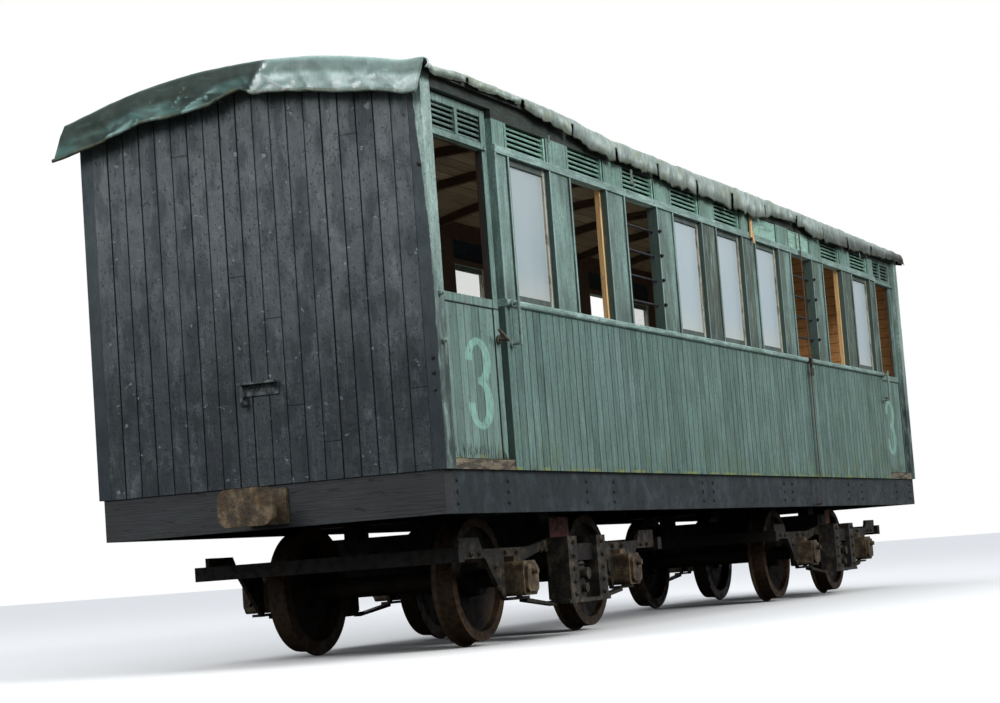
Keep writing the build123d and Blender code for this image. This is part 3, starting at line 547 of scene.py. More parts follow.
    def bared(self, s: Surface, colour: object) -> object:
        """Broad parts, below the window heads, where the paint has gone and the wood has greyed.

        Args:
            s: the material.
            colour: colour underneath.

        Returns:
            The mixed colour.
        """
        wide = s.patches(0.55, self.lost, (0.8, 1.0, 2.4), soft=0.07, seed=16.0, detail=3.0)
        ragged = s.patches(0.035, 0.80, self.grain.grain(6.0), soft=0.12, seed=17.0, detail=7.0)
        below = s.zone(s.axes[2], high=TRANSOM_Z, soft=0.01)
        torn = s.patches(0.020, 0.5, self.grain.grain(12.0), soft=0.10, seed=44.0, detail=7.0)
        cracks = s.patches(0.014, 0.35, self.grain.grain(16.0), soft=0.07, seed=45.0, detail=6.0)
        wood = s.coats(self.weathered, (self.grey_wood, 0.60, torn), (self.dark_wood, 0.75, cracks))
        faces = [
            (wood, share, s.zone(s.axes[0], low, high, 0.006), ragged, below) for low, high, share in self.weather
        ]
        low_part = s.zone(s.axes[2], high=SILL_Z + 0.10, soft=0.09)
        return s.coats(
            colour, (self.weathered, 0.80, wide, ragged, below), *faces, (self.dirt, 0.34, low_part, ragged)
        )

    def grooved(self, s: Surface, colour: object) -> object:
        """Dirt and painted shade in the quirk beside each bead and on the faces turned into the windows; a painted
        highlight on the outer edge.

        Args:
            s: the material.
            colour: colour underneath.

        Returns:
            The mixed colour.
        """
        away = s.bay_distance()
        # Painted highlight on the outermost faces of the beads
        edge = s.zone(s.axes[1], low=HALF_W + 0.004, soft=0.002, size=True)
        broken = s.patches(0.20, 0.80, Axis.UP.grain(2.0), soft=0.2, seed=28.0)
        # The real quirks are 2 mm wide; they are drawn 10 mm wide, the finest that still shows, so the dark beside
        # them is painted shade as well as dirt.
        quirk = s.zone(away, *QUIRK, 0.0012)
        # Painted shade and dirt on the faces turned into the windows
        reveal = s.zone(away, *REVEAL, 0.0008)
        return s.coats(
            colour, (self.faded, 0.26, edge), (self.dirt, 0.90, quirk, broken), (self.deep, 0.75, reveal),
            (self.dirt, 0.55, reveal),
        )

    def tar(self, s: Surface, colour: object) -> object:
        """Tar on the end faces of the corner posts and soot low on their sides, with paint left along the edge.

        Args:
            s: the material.
            colour: colour underneath.

        Returns:
            The mixed colour.
        """
        soot = s.zone(s.axes[2], high=1.95, soft=0.45)
        soiled = s.patches(0.05, 0.68, Axis.UP.grain(5.0), soft=0.15, seed=20.0, detail=7.0)
        mottle = s.patches(0.05, 0.5, Axis.UP.grain(2.5), soft=0.2, seed=24.0, detail=7.0)
        black = s.coats("1d272c", ("384245", 1.0, s.zone(s.axes[2], low=1.9, soft=0.7)), ("1c2326", 0.5, mottle))
        end = s.zone(s.axes[0], low=HALF_L - 0.002, soft=0.001, size=True)
        rise = {"Value": s.axes[2], "From Min": 2.15, "From Max": 2.90, "To Min": 0.007, "To Max": 0.050}
        lap = add_node(s.tree, "ShaderNodeMapRange", rise)
        inward = add_node(s.tree, "ShaderNodeMath", {0: s.axes[1], 1: HALF_W}, operation="ADD")
        wander = s.patches(0.04, 0.5, Axis.UP.grain(2.0), soft=0.2, seed=25.0)
        inward = add_node(s.tree, "ShaderNodeMath", {0: wander, 1: 0.008, 2: inward}, operation="MULTIPLY_ADD")
        past = add_node(s.tree, "ShaderNodeMath", {0: inward, 1: lap}, operation="SUBTRACT")
        return s.coats(colour, ("2a3634", 0.96, soot, soiled), (black, 1.0, end, s.zone(past, low=0.0, soft=0.003)))


@dataclass(frozen=True)
class TarredBoards:
    """Softwood planks under brushed tar. It is a near-black blue-grey, duller and paler where it has worn."""

    name: str
    run: Boards
    upper: str = "5b6465"
    lower: str = "141d22"
    scuff: str = "8f999b"
    gap: str = "080b0c"
    lining: str = "c98f55"
    level_board: float = 0.088

    def build(self) -> bpy.types.Material:
        """Make the material.

        Returns:
            The material.
        """
        s = Surface(self.name)
        tone, joints, _ = s.boards(self.run)
        height = add_node(s.tree, "ShaderNodeMapRange", {"Value": s.axes[2], "From Min": 1.45, "From Max": 2.55})
        cloud = s.patches(0.50, 0.5, Axis.UP.grain(1.5), soft=0.3, seed=11.0)
        lift = add_node(s.tree, "ShaderNodeMath", {0: cloud, 1: 0.50, 2: -0.25}, operation="MULTIPLY_ADD")
        mixed = add_node(s.tree, "ShaderNodeMath", {0: height, 1: lift}, operation="ADD", use_clamp=True)
        fibre = s.patches(0.012, 0.5, Axis.UP.grain(12.0), soft=0.18, seed=12.0, detail=6.0)
        blotch = s.patches(0.09, 0.42, Axis.UP.grain(2.4), soft=0.09, seed=13.0, detail=7.0)
        scuffs = s.patches(0.100, 0.16, (1.0, 0.8, 1.5), soft=0.10, seed=14.0, detail=7.0)
        chips = s.patches(0.045, 0.02, (1.0, 1.3, 0.9), soft=0.03, seed=46.0, detail=9.0)
        runs = s.patches(0.022, 0.20, Axis.UP.grain(10.0), soft=0.06, seed=15.0)
        pits = s.patches(0.013, 0.08, (1.0, 1.0, 1.6), soft=0.03, seed=26.0, detail=3.0)
        peel = s.patches(0.007, 0.5, soft=0.2, seed=29.0, detail=2.0)
        dents = s.patches(0.070, 0.5, soft=0.16, seed=30.0, detail=2.0)
        level = s.patches(0.012, 0.5, Axis.ACROSS.grain(12.0), soft=0.18, seed=48.0, detail=6.0)
        butts = self.butt_joints(s)
        wood = s.coats(self.lining, ("94663a", 0.6, level), ("24170d", 0.8, self.inner_joints(s)))
        inner = s.zone(s.axes[0], high=HALF_L - 0.043, soft=0.002, size=True)
        colour = s.coats(
            self.lower, (self.upper, 1.0, mixed), ("2f383c", 0.50, tone), ("192024", 0.46, blotch),
            ("1a2124", 0.22, fibre), (self.scuff, 0.24, scuffs, peel), (self.scuff, 0.55, chips),
            ("5f6a6c", 0.14, runs), ("0e1214", 0.15, peel), ("0e1214", 0.70, pits), (self.gap, 0.90, joints),
            (self.gap, 0.34, butts), (wood, 0.97, inner),
        )
        rough = add_node(s.tree, "ShaderNodeMapRange", {"Value": blotch, "To Min": 0.50, "To Max": 0.72})
        normal = s.relief(
            (fibre, 0.0008), (joints, -0.004), (scuffs, 0.0020), (blotch, 0.0008), (pits, -0.002), (butts, -0.003),
            (peel, 0.0003), (dents, 0.0014),
        )
        return s.finish(colour, rough, normal, Specular_IOR_Level=0.33)

    def inner_joints(self, s: Surface) -> bpy.types.Node:
        """Joints of the level boards that line the end walls inside."""
        place = add_node(s.tree, "ShaderNodeMath", {0: s.axes[2], 1: self.level_board}, operation="DIVIDE")
        return s.zone(add_node(s.tree, "ShaderNodeMath", {0: place}, operation="FRACT"), high=0.07, soft=0.04)

    def butt_joints(self, s: Surface) -> bpy.types.Node:
        """Level joints where about one plank in three is pieced, at a height of its own.

        Args:
            s: the material.

        Returns:
            A node that is 1 in the joints.
        """
        _, chance = s.board_place(self.run)
        high = add_node(s.tree, "ShaderNodeMath", {0: chance, 1: 6.5, 2: -2.4}, operation="MULTIPLY_ADD")
        near = add_node(s.tree, "ShaderNodeMath", {0: s.axes[2], 1: high}, operation="SUBTRACT")
        return s.zone(near, -0.0035, 0.0035, 0.002)


@dataclass(frozen=True)
class BareTimber:
    """Unpainted aged softwood. It shows long fibres, darker knots and grime, and greys in the weather."""

    name: str
    wood: str
    dark: str
    pale: str
    grain: Axis = Axis.ALONG
    run: Boards | None = None
    rot: float = 0.15
    rough: float = 0.8
    edge: str = ""
    gap: str = "0f0c09"

    def build(self) -> bpy.types.Material:
        """Make the material.

        Returns:
            The material.
        """
        s = Surface(self.name)
        fibre = s.patches(0.010, 0.5, self.grain.grain(22.0), soft=0.18, seed=21.0, detail=7.0)
        broad = s.patches(0.16, 0.5, self.grain.grain(3.0), soft=0.2, seed=22.0)
        decay = s.patches(0.040, self.rot, self.grain.grain(4.0), soft=0.05, seed=23.0, detail=8.0)
        rows: list[tuple] = [(self.pale, 0.5, broad), (self.dark, 0.5, fibre), (self.dark, 0.75, decay)]
        layers: list[tuple[object, float]] = [(fibre, 0.0012), (decay, -0.003)]
        if self.run:
            tone, joints, _ = s.boards(self.run)
            rows.insert(1, (self.dark, 0.5, tone))
            rows.append((self.gap, 0.85, joints))
            layers.append((joints, -0.003))
        # Boards past the inner face of the walls take one colour: on the ceiling, painted shade under the roof cloth
        if self.edge:
            rows.append((self.edge, 0.92, s.zone(s.axes[1], low=INNER, soft=0.004, size=True)))
        return s.finish(s.coats(self.wood, *rows), self.rough, s.relief(*layers))


@dataclass(frozen=True)
class AgedSteel:
    """Rolled or cast steel left out of doors: scale or old paint, rust that spreads in patches, dust and grease."""

    name: str
    skin: str
    rust: str
    dust: str
    dark: str
    rusted: float = 0.4
    dusted: float = 0.3
    pitting: float = 0.0008
    rough: float = 0.68
    spot: float = 0.05
    lichen: float = 0.0
    metal: float = 0.0
    gloss: float = 0.25
    rim: str = ""
    growth: str = "66705a"

    def build(self) -> bpy.types.Material:
        """Make the material.

        Returns:
            The material.
        """
        s = Surface(self.name)
        rust = s.patches(self.spot, self.rusted, soft=0.07, seed=31.0, detail=8.0)
        dust = s.patches(self.spot * 2.2, self.dusted, soft=0.12, seed=32.0, detail=5.0)
        grime = s.patches(self.spot * 3.5, 0.42, Axis.UP.grain(2.0), soft=0.14, seed=33.0)
        grit = s.patches(0.006, 0.5, soft=0.16, seed=34.0, detail=3.0)
        runs = s.patches(0.020, 0.25, Axis.UP.grain(12.0), soft=0.08, seed=35.0)
        colour = s.coats(
            self.skin, (self.rust, 0.85, rust), (self.dust, 0.60, dust), (self.dark, 0.60, grime),
            (self.dark, 0.25, grit), (self.dark, 0.25, runs),
        )
        if self.lichen:
            spots = s.patches(0.022, self.lichen, soft=0.03, seed=36.0, detail=8.0)
            colour = s.coat(colour, self.growth, 0.70, spots, s.zone(s.axes[0], low=0.5, soft=3.2))
        if self.rim:
            bright = s.patches(0.030, 0.6, soft=0.12, seed=37.0, detail=7.0)
            colour = s.coat(colour, self.rim, 0.70, self.rim_mask(s), bright)
        normal = s.relief((rust, self.pitting), (grit, self.pitting * 0.6))
        ends = {"Value": rust, "To Min": self.rough - 0.16, "To Max": self.rough + 0.14}
        rough = add_node(s.tree, "ShaderNodeMapRange", ends)
        return s.finish(colour, rough, normal, Metallic=self.metal, Specular_IOR_Level=self.gloss)

    def rim_mask(self, s: Surface) -> bpy.types.Node:
        """Mask of the rims and treads of the wheels, by their distance from the nearest axle.

        Args:
            s: the material.

        Returns:
            A node that is 1 on the rims.
        """
        across: object = s.axes[0]
        for middle in (BOGIE_X, AXLE_AT):
            across = add_node(s.tree, "ShaderNodeMath", {0: across}, operation="ABSOLUTE")
            across = add_node(s.tree, "ShaderNodeMath", {0: across, 1: middle}, operation="SUBTRACT")
        rise = add_node(s.tree, "ShaderNodeMath", {0: s.axes[2], 1: AXLE_Z}, operation="SUBTRACT")
        spot = add_node(s.tree, "ShaderNodeCombineXYZ", {"X": across, "Y": rise})
        length = add_node(s.tree, "ShaderNodeVectorMath", {0: spot}, operation="LENGTH").outputs["Value"]
        return s.zone(length, low=RIM_R, soft=0.004)


@dataclass(frozen=True)
class OldGlass:
    """Drawn window glass under years of dust. It is milky, paler along its edges, and clearer on the far side; its
    pale blue-grey is partly painted reflection of the sky, paler towards the rear, and its foot is paled by dust and
    painted reflection.
    """

    name: str
    film: str = "a9b9bc"
    dust: str = "cfcabb"

    def build(self) -> bpy.types.Material:
        """Make the material.

        Returns:
            The material.
        """
        s = Surface(self.name)
        cloud = s.patches(0.45, 0.5, Axis.UP.grain(1.5), soft=0.25, seed=41.0)
        specks = s.patches(0.012, 0.16, soft=0.05, seed=42.0, detail=8.0)
        rim = s.zone(s.bay_distance(), low=PANE_EDGE, soft=0.006)
        # Foot of each pane, paled by dust and by a painted reflection
        low = s.zone(s.axes[2], high=SILL_Z + 0.12, soft=0.10)
        high = s.zone(s.axes[2], low=TRANSOM_Z - 0.30, soft=0.25)
        far = s.zone(s.axes[1], low=0.0, soft=0.01)
        colour = s.coats(
            self.film, ("93a5aa", 0.7, cloud), ("b4bebe", 0.4, high),
            # Painted reflection of the sky, paler towards the rear
            ("c6d8de", 0.42, s.zone(s.axes[0], low=-1.6, soft=0.7)), (self.dust, 0.30, specks),
            (self.dust, 0.40, low), (self.dust, 0.80, rim), ("f2f4f2", 1.0, far),
        )
        clear = add_node(s.tree, "ShaderNodeMapRange", {"Value": far, "To Min": 0.22, "To Max": 0.98})
        rough = add_node(s.tree, "ShaderNodeMapRange", {"Value": far, "To Min": 0.30, "To Max": 0.04})
        return s.finish(colour, rough, None, IOR=1.45, Transmission_Weight=clear, Specular_IOR_Level=0.5)


@dataclass(frozen=True)
class RoofCloth:
    """Heavy proofed canvas, painted and weathered. It is mossy and stained, with a painted highlight on the lit side
    of each fold, painted shade on the other side, and painted shade low on its hanging parts.
    """

    name: str
    silver: str = "9aaaa2"
    deep: str = "222a27"
    sheen: str = "c3d0ca"
    teal: str = "7f9f9a"
    lichen: str = "7d8557"
    stain: str = "4a3a28"

    def build(self) -> bpy.types.Material:
        """Make the material.

        Returns:
            The material.
        """
        s = Surface(self.name)
        along, across = s.axes[0], s.axes[1]
        # Painted light of the folds, the hem, how far down a hanging part, and painted shade beside the slits of the
        # near edge, all from the cover's mesh
        fold_light, hem, fall, slit = (
            add_node(s.tree, "ShaderNodeAttribute", attribute_name=name).outputs["Fac"]
            for name in ("fold_light", "hem", "fall", "slit")
        )
        broad = s.patches(0.30, 0.5, soft=0.2, seed=51.0)
        small = s.patches(0.05, 0.4, soft=0.10, seed=52.0, detail=7.0)
        moss = s.patches(0.16, 0.30, soft=0.07, seed=53.0, detail=8.0)
        rust = s.patches(0.09, 0.30, soft=0.07, seed=54.0, detail=6.0)
        soil = s.patches(0.05, 0.55, soft=0.1, seed=55.0)
        fine = s.patches(0.012, 0.45, Axis.UP.grain(3.0), soft=0.12, seed=56.0, detail=5.0)
        streak = s.patches(0.016, 0.42, Axis.UP.grain(6.0), soft=0.08, seed=57.0, detail=6.0)
        pale = s.patches(0.030, 0.36, Axis.UP.grain(2.5), soft=0.07, seed=58.0, detail=6.0)
        # Wet patches: glossier cloth, and where some painted highlights and painted shade of the front edge fall
        wet = s.patches(0.110, 0.55, Axis.ACROSS.grain(2.6), soft=0.20, seed=59.0, detail=2.0)
        # The real threads are 1.5 mm apart; they are drawn 6 mm apart, the finest that still shows.
        links = {"Vector": s.point, "Scale": 1.0 / 0.006 / 6.283, "Distortion": 1.0}
        thread = add_node(s.tree, "ShaderNodeTexWave", links)
        front = s.zone(along, high=-5.0, soft=0.02)
        rear = s.zone(along, low=2.4, soft=0.7)
        corner = s.zone(along, low=4.62, soft=0.22)
        # Painted highlight on the lit sides of folds and painted shade on their other sides
        lit = s.zone(fold_light, low=0.66, soft=0.14)
        dim = s.zone(fold_light, high=0.36, soft=0.14)
        colour = s.coats(
            self.silver,
            ("76857d", 0.7, broad),
            (self.sheen, 0.36, pale),
            ("4f5b54", 0.40, streak),
            ("4a564f", 0.30, fine),
            (self.lichen, 0.50, moss),
            # Painted highlight on the lit sides of folds, painted shade on the others
            (self.sheen, 0.55, lit, s.zone(fall, high=0.7, soft=0.2)),
            ("39443e", 0.55, dim),
            # Painted shade towards the hems of the hanging sides
            ("333a31", 0.72, s.zone(fall, low=0.70, soft=0.24)),
            ("2f352c", 0.72, rear, s.zone(fall, low=0.30, soft=0.25)),
            ("24251d", 0.85, corner, s.zone(fall, low=0.05, soft=0.05)),
            # Painted shade just past each slit of the near edge
            ("1d231f", 0.80, slit),
            (self.front(s, fall, small, rust, fine, wet, lit, dim), 1.0, front),
            ("55553c", 0.60, hem, soil),
        )
        gloss = add_node(s.tree, "ShaderNodeMapRange", {"Value": wet, "To Min": 0.52, "To Max": 0.36})
        dull = add_node(s.tree, "ShaderNodeMath", {0: front, 1: s.zone(across, low=-0.15)}, operation="MULTIPLY")
        dull = add_node(s.tree, "ShaderNodeMath", {0: dull, 1: s.zone(fall, high=0.04)}, operation="MAXIMUM")
        rough = add_node(s.tree, "ShaderNodeMath", {0: dull, 1: 0.30, 2: gloss}, operation="MULTIPLY_ADD")
        normal = s.relief((thread, 0.0002), (small, 0.0006), (moss, 0.0006), (fine, 0.0003), (streak, 0.0006))
        return s.finish(colour, rough, normal, Specular_IOR_Level=0.36)

    def front(self, s: Surface, fall: object, *masks: object) -> object:
        """Colour of the front edge: dark and rusty on the far half, silvery on the near one, with painted highlights
        and painted shade in bands down the hanging part and on its folds.

        Args:
            s: the material.
            fall: how far down the hanging part.
            masks: small patches, rust, fine dirt, wet patches that also place painted highlights and painted shade,
                painted highlights on the lit sides of folds and painted shade on the others.

        Returns:
            The colour.
        """
        small, rust, fine, wet, lit, dim = masks
        # Painted highlight along the top of the hanging part, where it turns over the roof's edge
        rim = s.zone(fall, high=0.07, soft=0.03)
        dark = s.coats(
            "203029",
            ("2f443b", 0.5, small),
            (self.stain, 0.22, rust),
            (self.deep, 0.30, fine),
            # Painted highlight low on the hanging part and on the lit sides of folds, painted shade on their other
            # sides
            ("567872", 0.86, s.zone(fall, 0.58, 0.96, 0.12), wet),
            (self.teal, 0.80, lit),
            ("1b2421", 0.70, dim),
            ("6f8a83", 0.40, rim, wet),
        )
        # Painted shade across the upper middle of the hanging part
        shaded_band = s.zone(fall, 0.10, 0.46, 0.10)
        pale = s.coats(
            "8ba49d",
            ("a3b8b2", 0.4, small),
            ("506760", 0.66, shaded_band),
            ("3a4e46", 0.60, shaded_band, wet),
            # Painted highlight across the lower part of the hanging cloth
            ("d3e0dd", 0.72, s.zone(fall, 0.56, 0.88, 0.10), wet),
            ("566861", 0.20, fine),
            # Painted highlight on the lit sides of folds, painted shade on the others, and painted shade on the
            # rolled hem
            ("e6eeec", 0.80, lit),
            ("4c605b", 0.66, dim),
            ("4b5851", 0.65, s.zone(fall, low=0.965, soft=0.02)),
        )
        place = add_node(s.tree, "ShaderNodeMath", {0: wet, 1: 0.03, 2: s.axes[1]}, operation="MULTIPLY_ADD")
        lean = add_node(s.tree, "ShaderNodeMath", {0: fall, 1: -0.08, 2: place}, operation="MULTIPLY_ADD")
        return s.coat(pale, dark, 1.0, s.zone(lean, low=-0.185, soft=0.030))


def new_piece(
    name: str, mesh: bpy.types.Mesh, material: bpy.types.Material, body: str, slot: str
) -> bpy.types.Object:
    """Put a finished mesh in the scene as a piece of the coach.

    Args:
        name: the piece's name.
        mesh: its mesh, in place.
        material: its finish.
        body: body that it rides on.
        slot: name of its material slot; not used.

    Returns:
        The piece.
    """
    piece = bpy.data.objects.new(name, mesh)
    bpy.context.scene.collection.objects.link(piece)
    piece.data.materials.clear()
    piece.data.materials.append(material)
    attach(piece, body)
    LOG.info("%s on %s, %d faces", name, body, len(mesh.polygons))
    return piece


def between(table: tuple[tuple[float, float], ...], at: float) -> float:
    """Value of a table at a place, on straight lines between its rows.

    Args:
        table: pairs of place and value, in order.
        at: the place.

    Returns:
        The value there.
    """
    if at <= table[0][0]:
        return table[0][1]
    for (a, low), (b, high) in zip(table, table[1:]):
        if at <= b:
            return low + (high - low) * (at - a) / (b - a)
    return table[-1][1]


def clamp(value: float) -> float:
    """Keep a value between 0 and 1."""
    return max(0.0, min(1.0, value))


@dataclass
class RoofCover:
    """Cloth draped over the roof boards, hanging down over the eaves and, deeper, over both ends."""

    half: float = 1.0995
    edge_z: float = 3.0505
    rise: float = 0.170
    end: float = 5.0490
    thickness: float = 0.0035
    hem_radius: float = 0.011
    hem_turn: float = 1.7 * math.pi
    far_depth: float = 0.125
    slit_half: float = 0.017
    slit_shade: float = 0.07
    slit_clear: float = 0.012
    lip_reach: float = 0.05
    lip: float = 0.014
    corner_y: float = 0.96
    corner_width: float = 0.14
    corner_drop: float = 0.015
    far_flare: float = 0.085
    near_flare: float = 0.042
    hood: tuple[float, float, float] = (-0.010, -0.034, 0.012)
    hood_reach: tuple[float, float] = (0.17, 0.10)
    seed: int = 7
    columns: int = 125
    edge_step: float = 0.006
    fine_step: float = 0.028
    broad_step: float = 0.048
    fine_until: float = -2.9
    eave_rows: int = 9
    flat_rows: int = 18
    hem_rows: int = 7
    front_depths: tuple[tuple[float, float], ...] = (
        (-1.10, 0.172), (-1.03, 0.172), (-0.98, 0.168), (-0.84, 0.172), (-0.64, 0.190), (-0.45, 0.184),
        (-0.24, 0.174), (-0.13, 0.178), (-0.05, 0.140), (0.02, 0.150), (0.15, 0.196), (0.32, 0.206), (0.49, 0.196),
        (0.60, 0.182), (0.82, 0.198), (0.98, 0.188), (1.10, 0.178),
    )
    near_depths: tuple[tuple[float, float], ...] = (
        (-5.05, 0.050), (-4.90, 0.046), (-4.70, 0.045), (-4.33, 0.055), (-4.06, 0.050), (-3.76, 0.048),
        (-3.50, 0.085), (-3.06, 0.105), (-2.58, 0.125), (-2.33, 0.132), (-1.89, 0.122), (-1.13, 0.148),
        (-0.29, 0.155), (0.65, 0.168), (1.05, 0.100), (1.69, 0.105), (2.10, 0.150), (2.86, 0.150), (4.20, 0.105),
        (4.70, 0.085), (4.90, 0.080), (5.05, 0.090),
    )
    rear_depths: tuple[tuple[float, float], ...] = (
        (-1.10, 0.085), (-0.95, 0.095), (-0.80, 0.080), (-0.55, 0.120), (-0.20, 0.150), (0.30, 0.165), (1.10, 0.170),
    )
    near_lift: tuple[tuple[float, float], ...] = (
        (-5.05, 0.014), (-4.90, 0.012), (-4.78, 0.012), (-4.62, 0.028), (-4.30, 0.036), (-3.40, 0.034),
        (-3.0, 0.026), (-2.5, 0.0), (-1.83, -0.012), (-0.6, 0.0), (0.3, 0.008), (1.8, 0.010), (5.05, 0.0),
    )
    slits: tuple[float, ...] = (-4.50, -3.756, -3.03, -2.31, -1.55, -0.78, 0.0, 0.78, 1.62, 2.35, 3.1, 3.9)
    # Main creases of the front edge: across and down where each starts and ends, its height and its width
    creases: tuple[tuple[float, ...], ...] = (
        (-0.11, 0.18, -0.20, 0.03, 0.036, 0.020),
        (-0.12, 0.17, -0.05, 0.05, 0.026, 0.018),
        (-0.33, 0.17, -0.16, 0.06, 0.030, 0.018),
        (-0.47, 0.18, -0.40, 0.05, 0.026, 0.022),
        (-0.62, 0.15, -0.50, 0.02, 0.022, 0.026),
        (-0.84, 0.17, -0.70, 0.05, 0.020, 0.022),
        (-0.98, 0.15, -0.86, 0.07, 0.022, 0.016),
        (0.30, 0.19, 0.12, 0.12, 0.026, 0.018),
        (0.49, 0.20, 0.66, 0.10, 0.030, 0.024),
        (0.80, 0.20, 0.62, 0.15, 0.024, 0.018),
    )
    small_creases: int = 16

    def __post_init__(self) -> None:
        """Work out the arc of the roof and the grid's rows."""
        self.radius = (self.half**2 + self.rise**2) / (2 * self.rise)
        self.centre_z = self.edge_z + self.rise - self.radius
        self.angle = math.asin(self.half / self.radius)
        self.across = [self.angle * (-1 + 2 * i / (self.columns - 1)) for i in range(self.columns)]
        xs = [-self.end + self.edge_step * i for i in range(4)]
        while xs[-1] < self.end - 0.06:
            xs.append(xs[-1] + (self.fine_step if xs[-1] < self.fine_until else self.broad_step))
        edges = [slit + way * self.slit_half for slit in self.slits for way in (-1, 1)]
        clear = [x for x in xs if min(abs(x - edge) for edge in edges) > self.slit_clear and not self.in_slit(x)]
        self.along = sorted(clear + edges) + [self.end - 2 * self.edge_step, self.end]
        self.folds = self.make_folds()

    def in_slit(self, x: float) -> bool:
        """Whether a place along the roof lies in a slit of the near edge."""
        return any(abs(x - slit) < self.slit_half for slit in self.slits)

    def shade_beside_slit(self, x: float) -> float:
        """Painted shade on the cloth just past a slit of the near edge, from 0 to 1."""
        gaps = [x - slit for slit in self.slits if 0.0 < x - slit < self.slit_shade]
        return 1.0 - gaps[0] / self.slit_shade if gaps else 0.0

    def make_folds(self) -> list[tuple[Vector, Vector, float, float]]:
        """Creases of the front edge, the main ones and small ones at random.

        Returns:
            For each crease where it starts and ends, across and down, with its height and width.
        """
        draw = random.Random(self.seed)
        folds = [(Vector(row[:2]), Vector(row[2:4]), row[4], row[5]) for row in self.creases]
        for _ in range(self.small_creases):
            y = draw.uniform(-1.05, 1.05)
            low = draw.uniform(0.13, 0.19)
            lean = draw.uniform(-0.20, 0.20)
            end = Vector((y + lean, low - draw.uniform(0.04, 0.12)))
            folds.append((Vector((y, low)), end, draw.uniform(0.008, 0.018), draw.uniform(0.011, 0.018)))
        return folds

    def crease(self, y: float, down: float) -> float:
        """Height of the folds at a place of the front edge.

        Args:
            y: place across the coach.
            down: distance below the roof's edge.

        Returns:
            How far the folds stand out, in metres.
        """
        total = 0.0
        spot = Vector((y, down))
        for start, end, height, width in self.folds:
            line = end - start
            share = clamp((spot - start).dot(line) / line.length_squared)
            away = (spot - start - line * share).length / width
            if away < 3.0:
                total = max(total, height * (1.0 - away / 3.0) ** 2 * (1.0 - 0.60 * share))
        return total

    def fold_height(self, y: float, down: float) -> float:
        """Height of the folds and finer creases together, at a place of the front edge."""
        fine = 0.009 * self.rumple(y + down, down * 1.2, 0.26, 31.0)
        return self.crease(y, down) + fine * min(1.0, down / 0.06)

    def ripple(self, a: float, b: float, size: float, seed: float) -> float:
        """Smooth random value about -1 to 1 at a place of the cloth."""
        return noise.fractal(Vector((a / size, b / size, seed)), 1.0, 2.0, 3)

    def rumple(self, a: float, b: float, size: float, seed: float) -> float:
        """Height from 0 to 1 of sharp creases that wander over the cloth, at a place of it."""
        return max(0.0, 1.0 - abs(noise.noise(Vector((a / size, b / size, seed)))) * 3.2)

    def top_point(self, x: float, turn: float) -> tuple[Vector, float]:
        """Place and painted light of the cloth on the roof.

        Args:
            x: place along the coach.
            turn: angle round the arc of the roof.

        Returns:
            The point and its painted light: over a half for a painted highlight, under a half for painted shade.
        """
        y, z = self.radius * math.sin(turn), self.centre_z + self.radius * math.cos(turn)
        arc = self.radius * turn
        wave = 0.0035 + 0.0035 * self.ripple(x, arc, 0.35, 3.0) + 0.002 * self.ripple(x, arc, 0.07, 9.0)
        edge = max(0.0, 1.0 - (self.radius * self.angle - abs(arc)) / 0.16)
        lift = between(self.near_lift, x) * edge**1.5 if arc < 0 else 0.006 * edge
        swell = 0.010 * edge * self.ripple(x, arc, 0.22, 5.0)
        out = max(0.0, wave + swell) + max(lift, -0.004 * edge)
        point = Vector((x, y + math.sin(turn) * out * 0.5, z + math.cos(turn) * out))
        fall = max(0.0, 1.0 - (self.end - abs(x)) / 0.018)
        point.z -= 0.006 * fall * fall
        long, wide = self.hood_reach
        hood = max(0.0, 1.0 - math.hypot((x + self.end) / long, (arc + self.radius * self.angle) / wide))
        point += Vector(self.hood) * (hood * hood * (3.0 - 2.0 * hood))
        # Painted highlight where the cloth's ripples stand up, painted shade where they sink
        return point, clamp(0.5 + wave * 24.0 - 0.08)

    def eave_point(self, x: float, side: float, share: float) -> tuple[Vector, float]:
        """Place and painted light of the cloth that hangs over an eave.

        Args:
            x: place along the coach.
            side: -1 on the near side, 1 on the far side.
            share: how far down the hanging part, 0 to 1.

        Returns:
            The point and its painted light: over a half for a painted highlight, under a half for painted shade.
        """
        top, _ = self.top_point(x, side * self.angle)
        depth = between(self.near_depths, x) if side < 0 else self.far_depth
        depth *= 1.0 + 0.20 * self.ripple(x, side, 0.11, 13.0) * share
        belly = 0.007 * math.sin(math.pi * min(1.0, share * 1.15))
        crumple = 0.009 * self.ripple(x, share * 0.10, 0.060, 17.0) * share
        crumple += 0.020 * (self.rumple(x, share * 0.06, 0.13, 18.0) - 0.25) * share
        flare = 0.012 * share * self.ripple(x, 0.0, 0.35, 19.0)
        lip = 0.0
        for slit in self.slits if side < 0 else ():
            near = abs(x - slit)
            if near < self.lip_reach:
                lip += self.lip * (1.0 - near / self.lip_reach) * share
        out = 0.003 + belly + max(-0.004, crumple + flare) + lip
        point = Vector((x, top.y + side * out, top.z - depth * share))
        # Painted highlight where the hanging cloth crumples outwards, painted shade where it sinks
        return point, clamp(0.5 + crumple * 40.0)

    def end_point(self, end: float, turn: float, row: int) -> tuple[Vector, float, float]:
        """Place, painted light and hem of the cloth that hangs over an end, with its rolled hem.

        Args:
            end: -1 at the front, 1 at the rear.
            turn: angle round the arc of the roof.
            row: row of the hanging part, from 1.

        Returns:
            The point, its painted light from the slope of the folds, and how much of a hem.
        """
        top, _ = self.top_point(end * self.end, turn)
        depth = between(self.front_depths if end < 0 else self.rear_depths, top.y)
        down = depth * min(1.0, row / self.flat_rows)
        y = top.y
        facing = y if end < 0 else -y
        height = self.fold_height(facing, down)
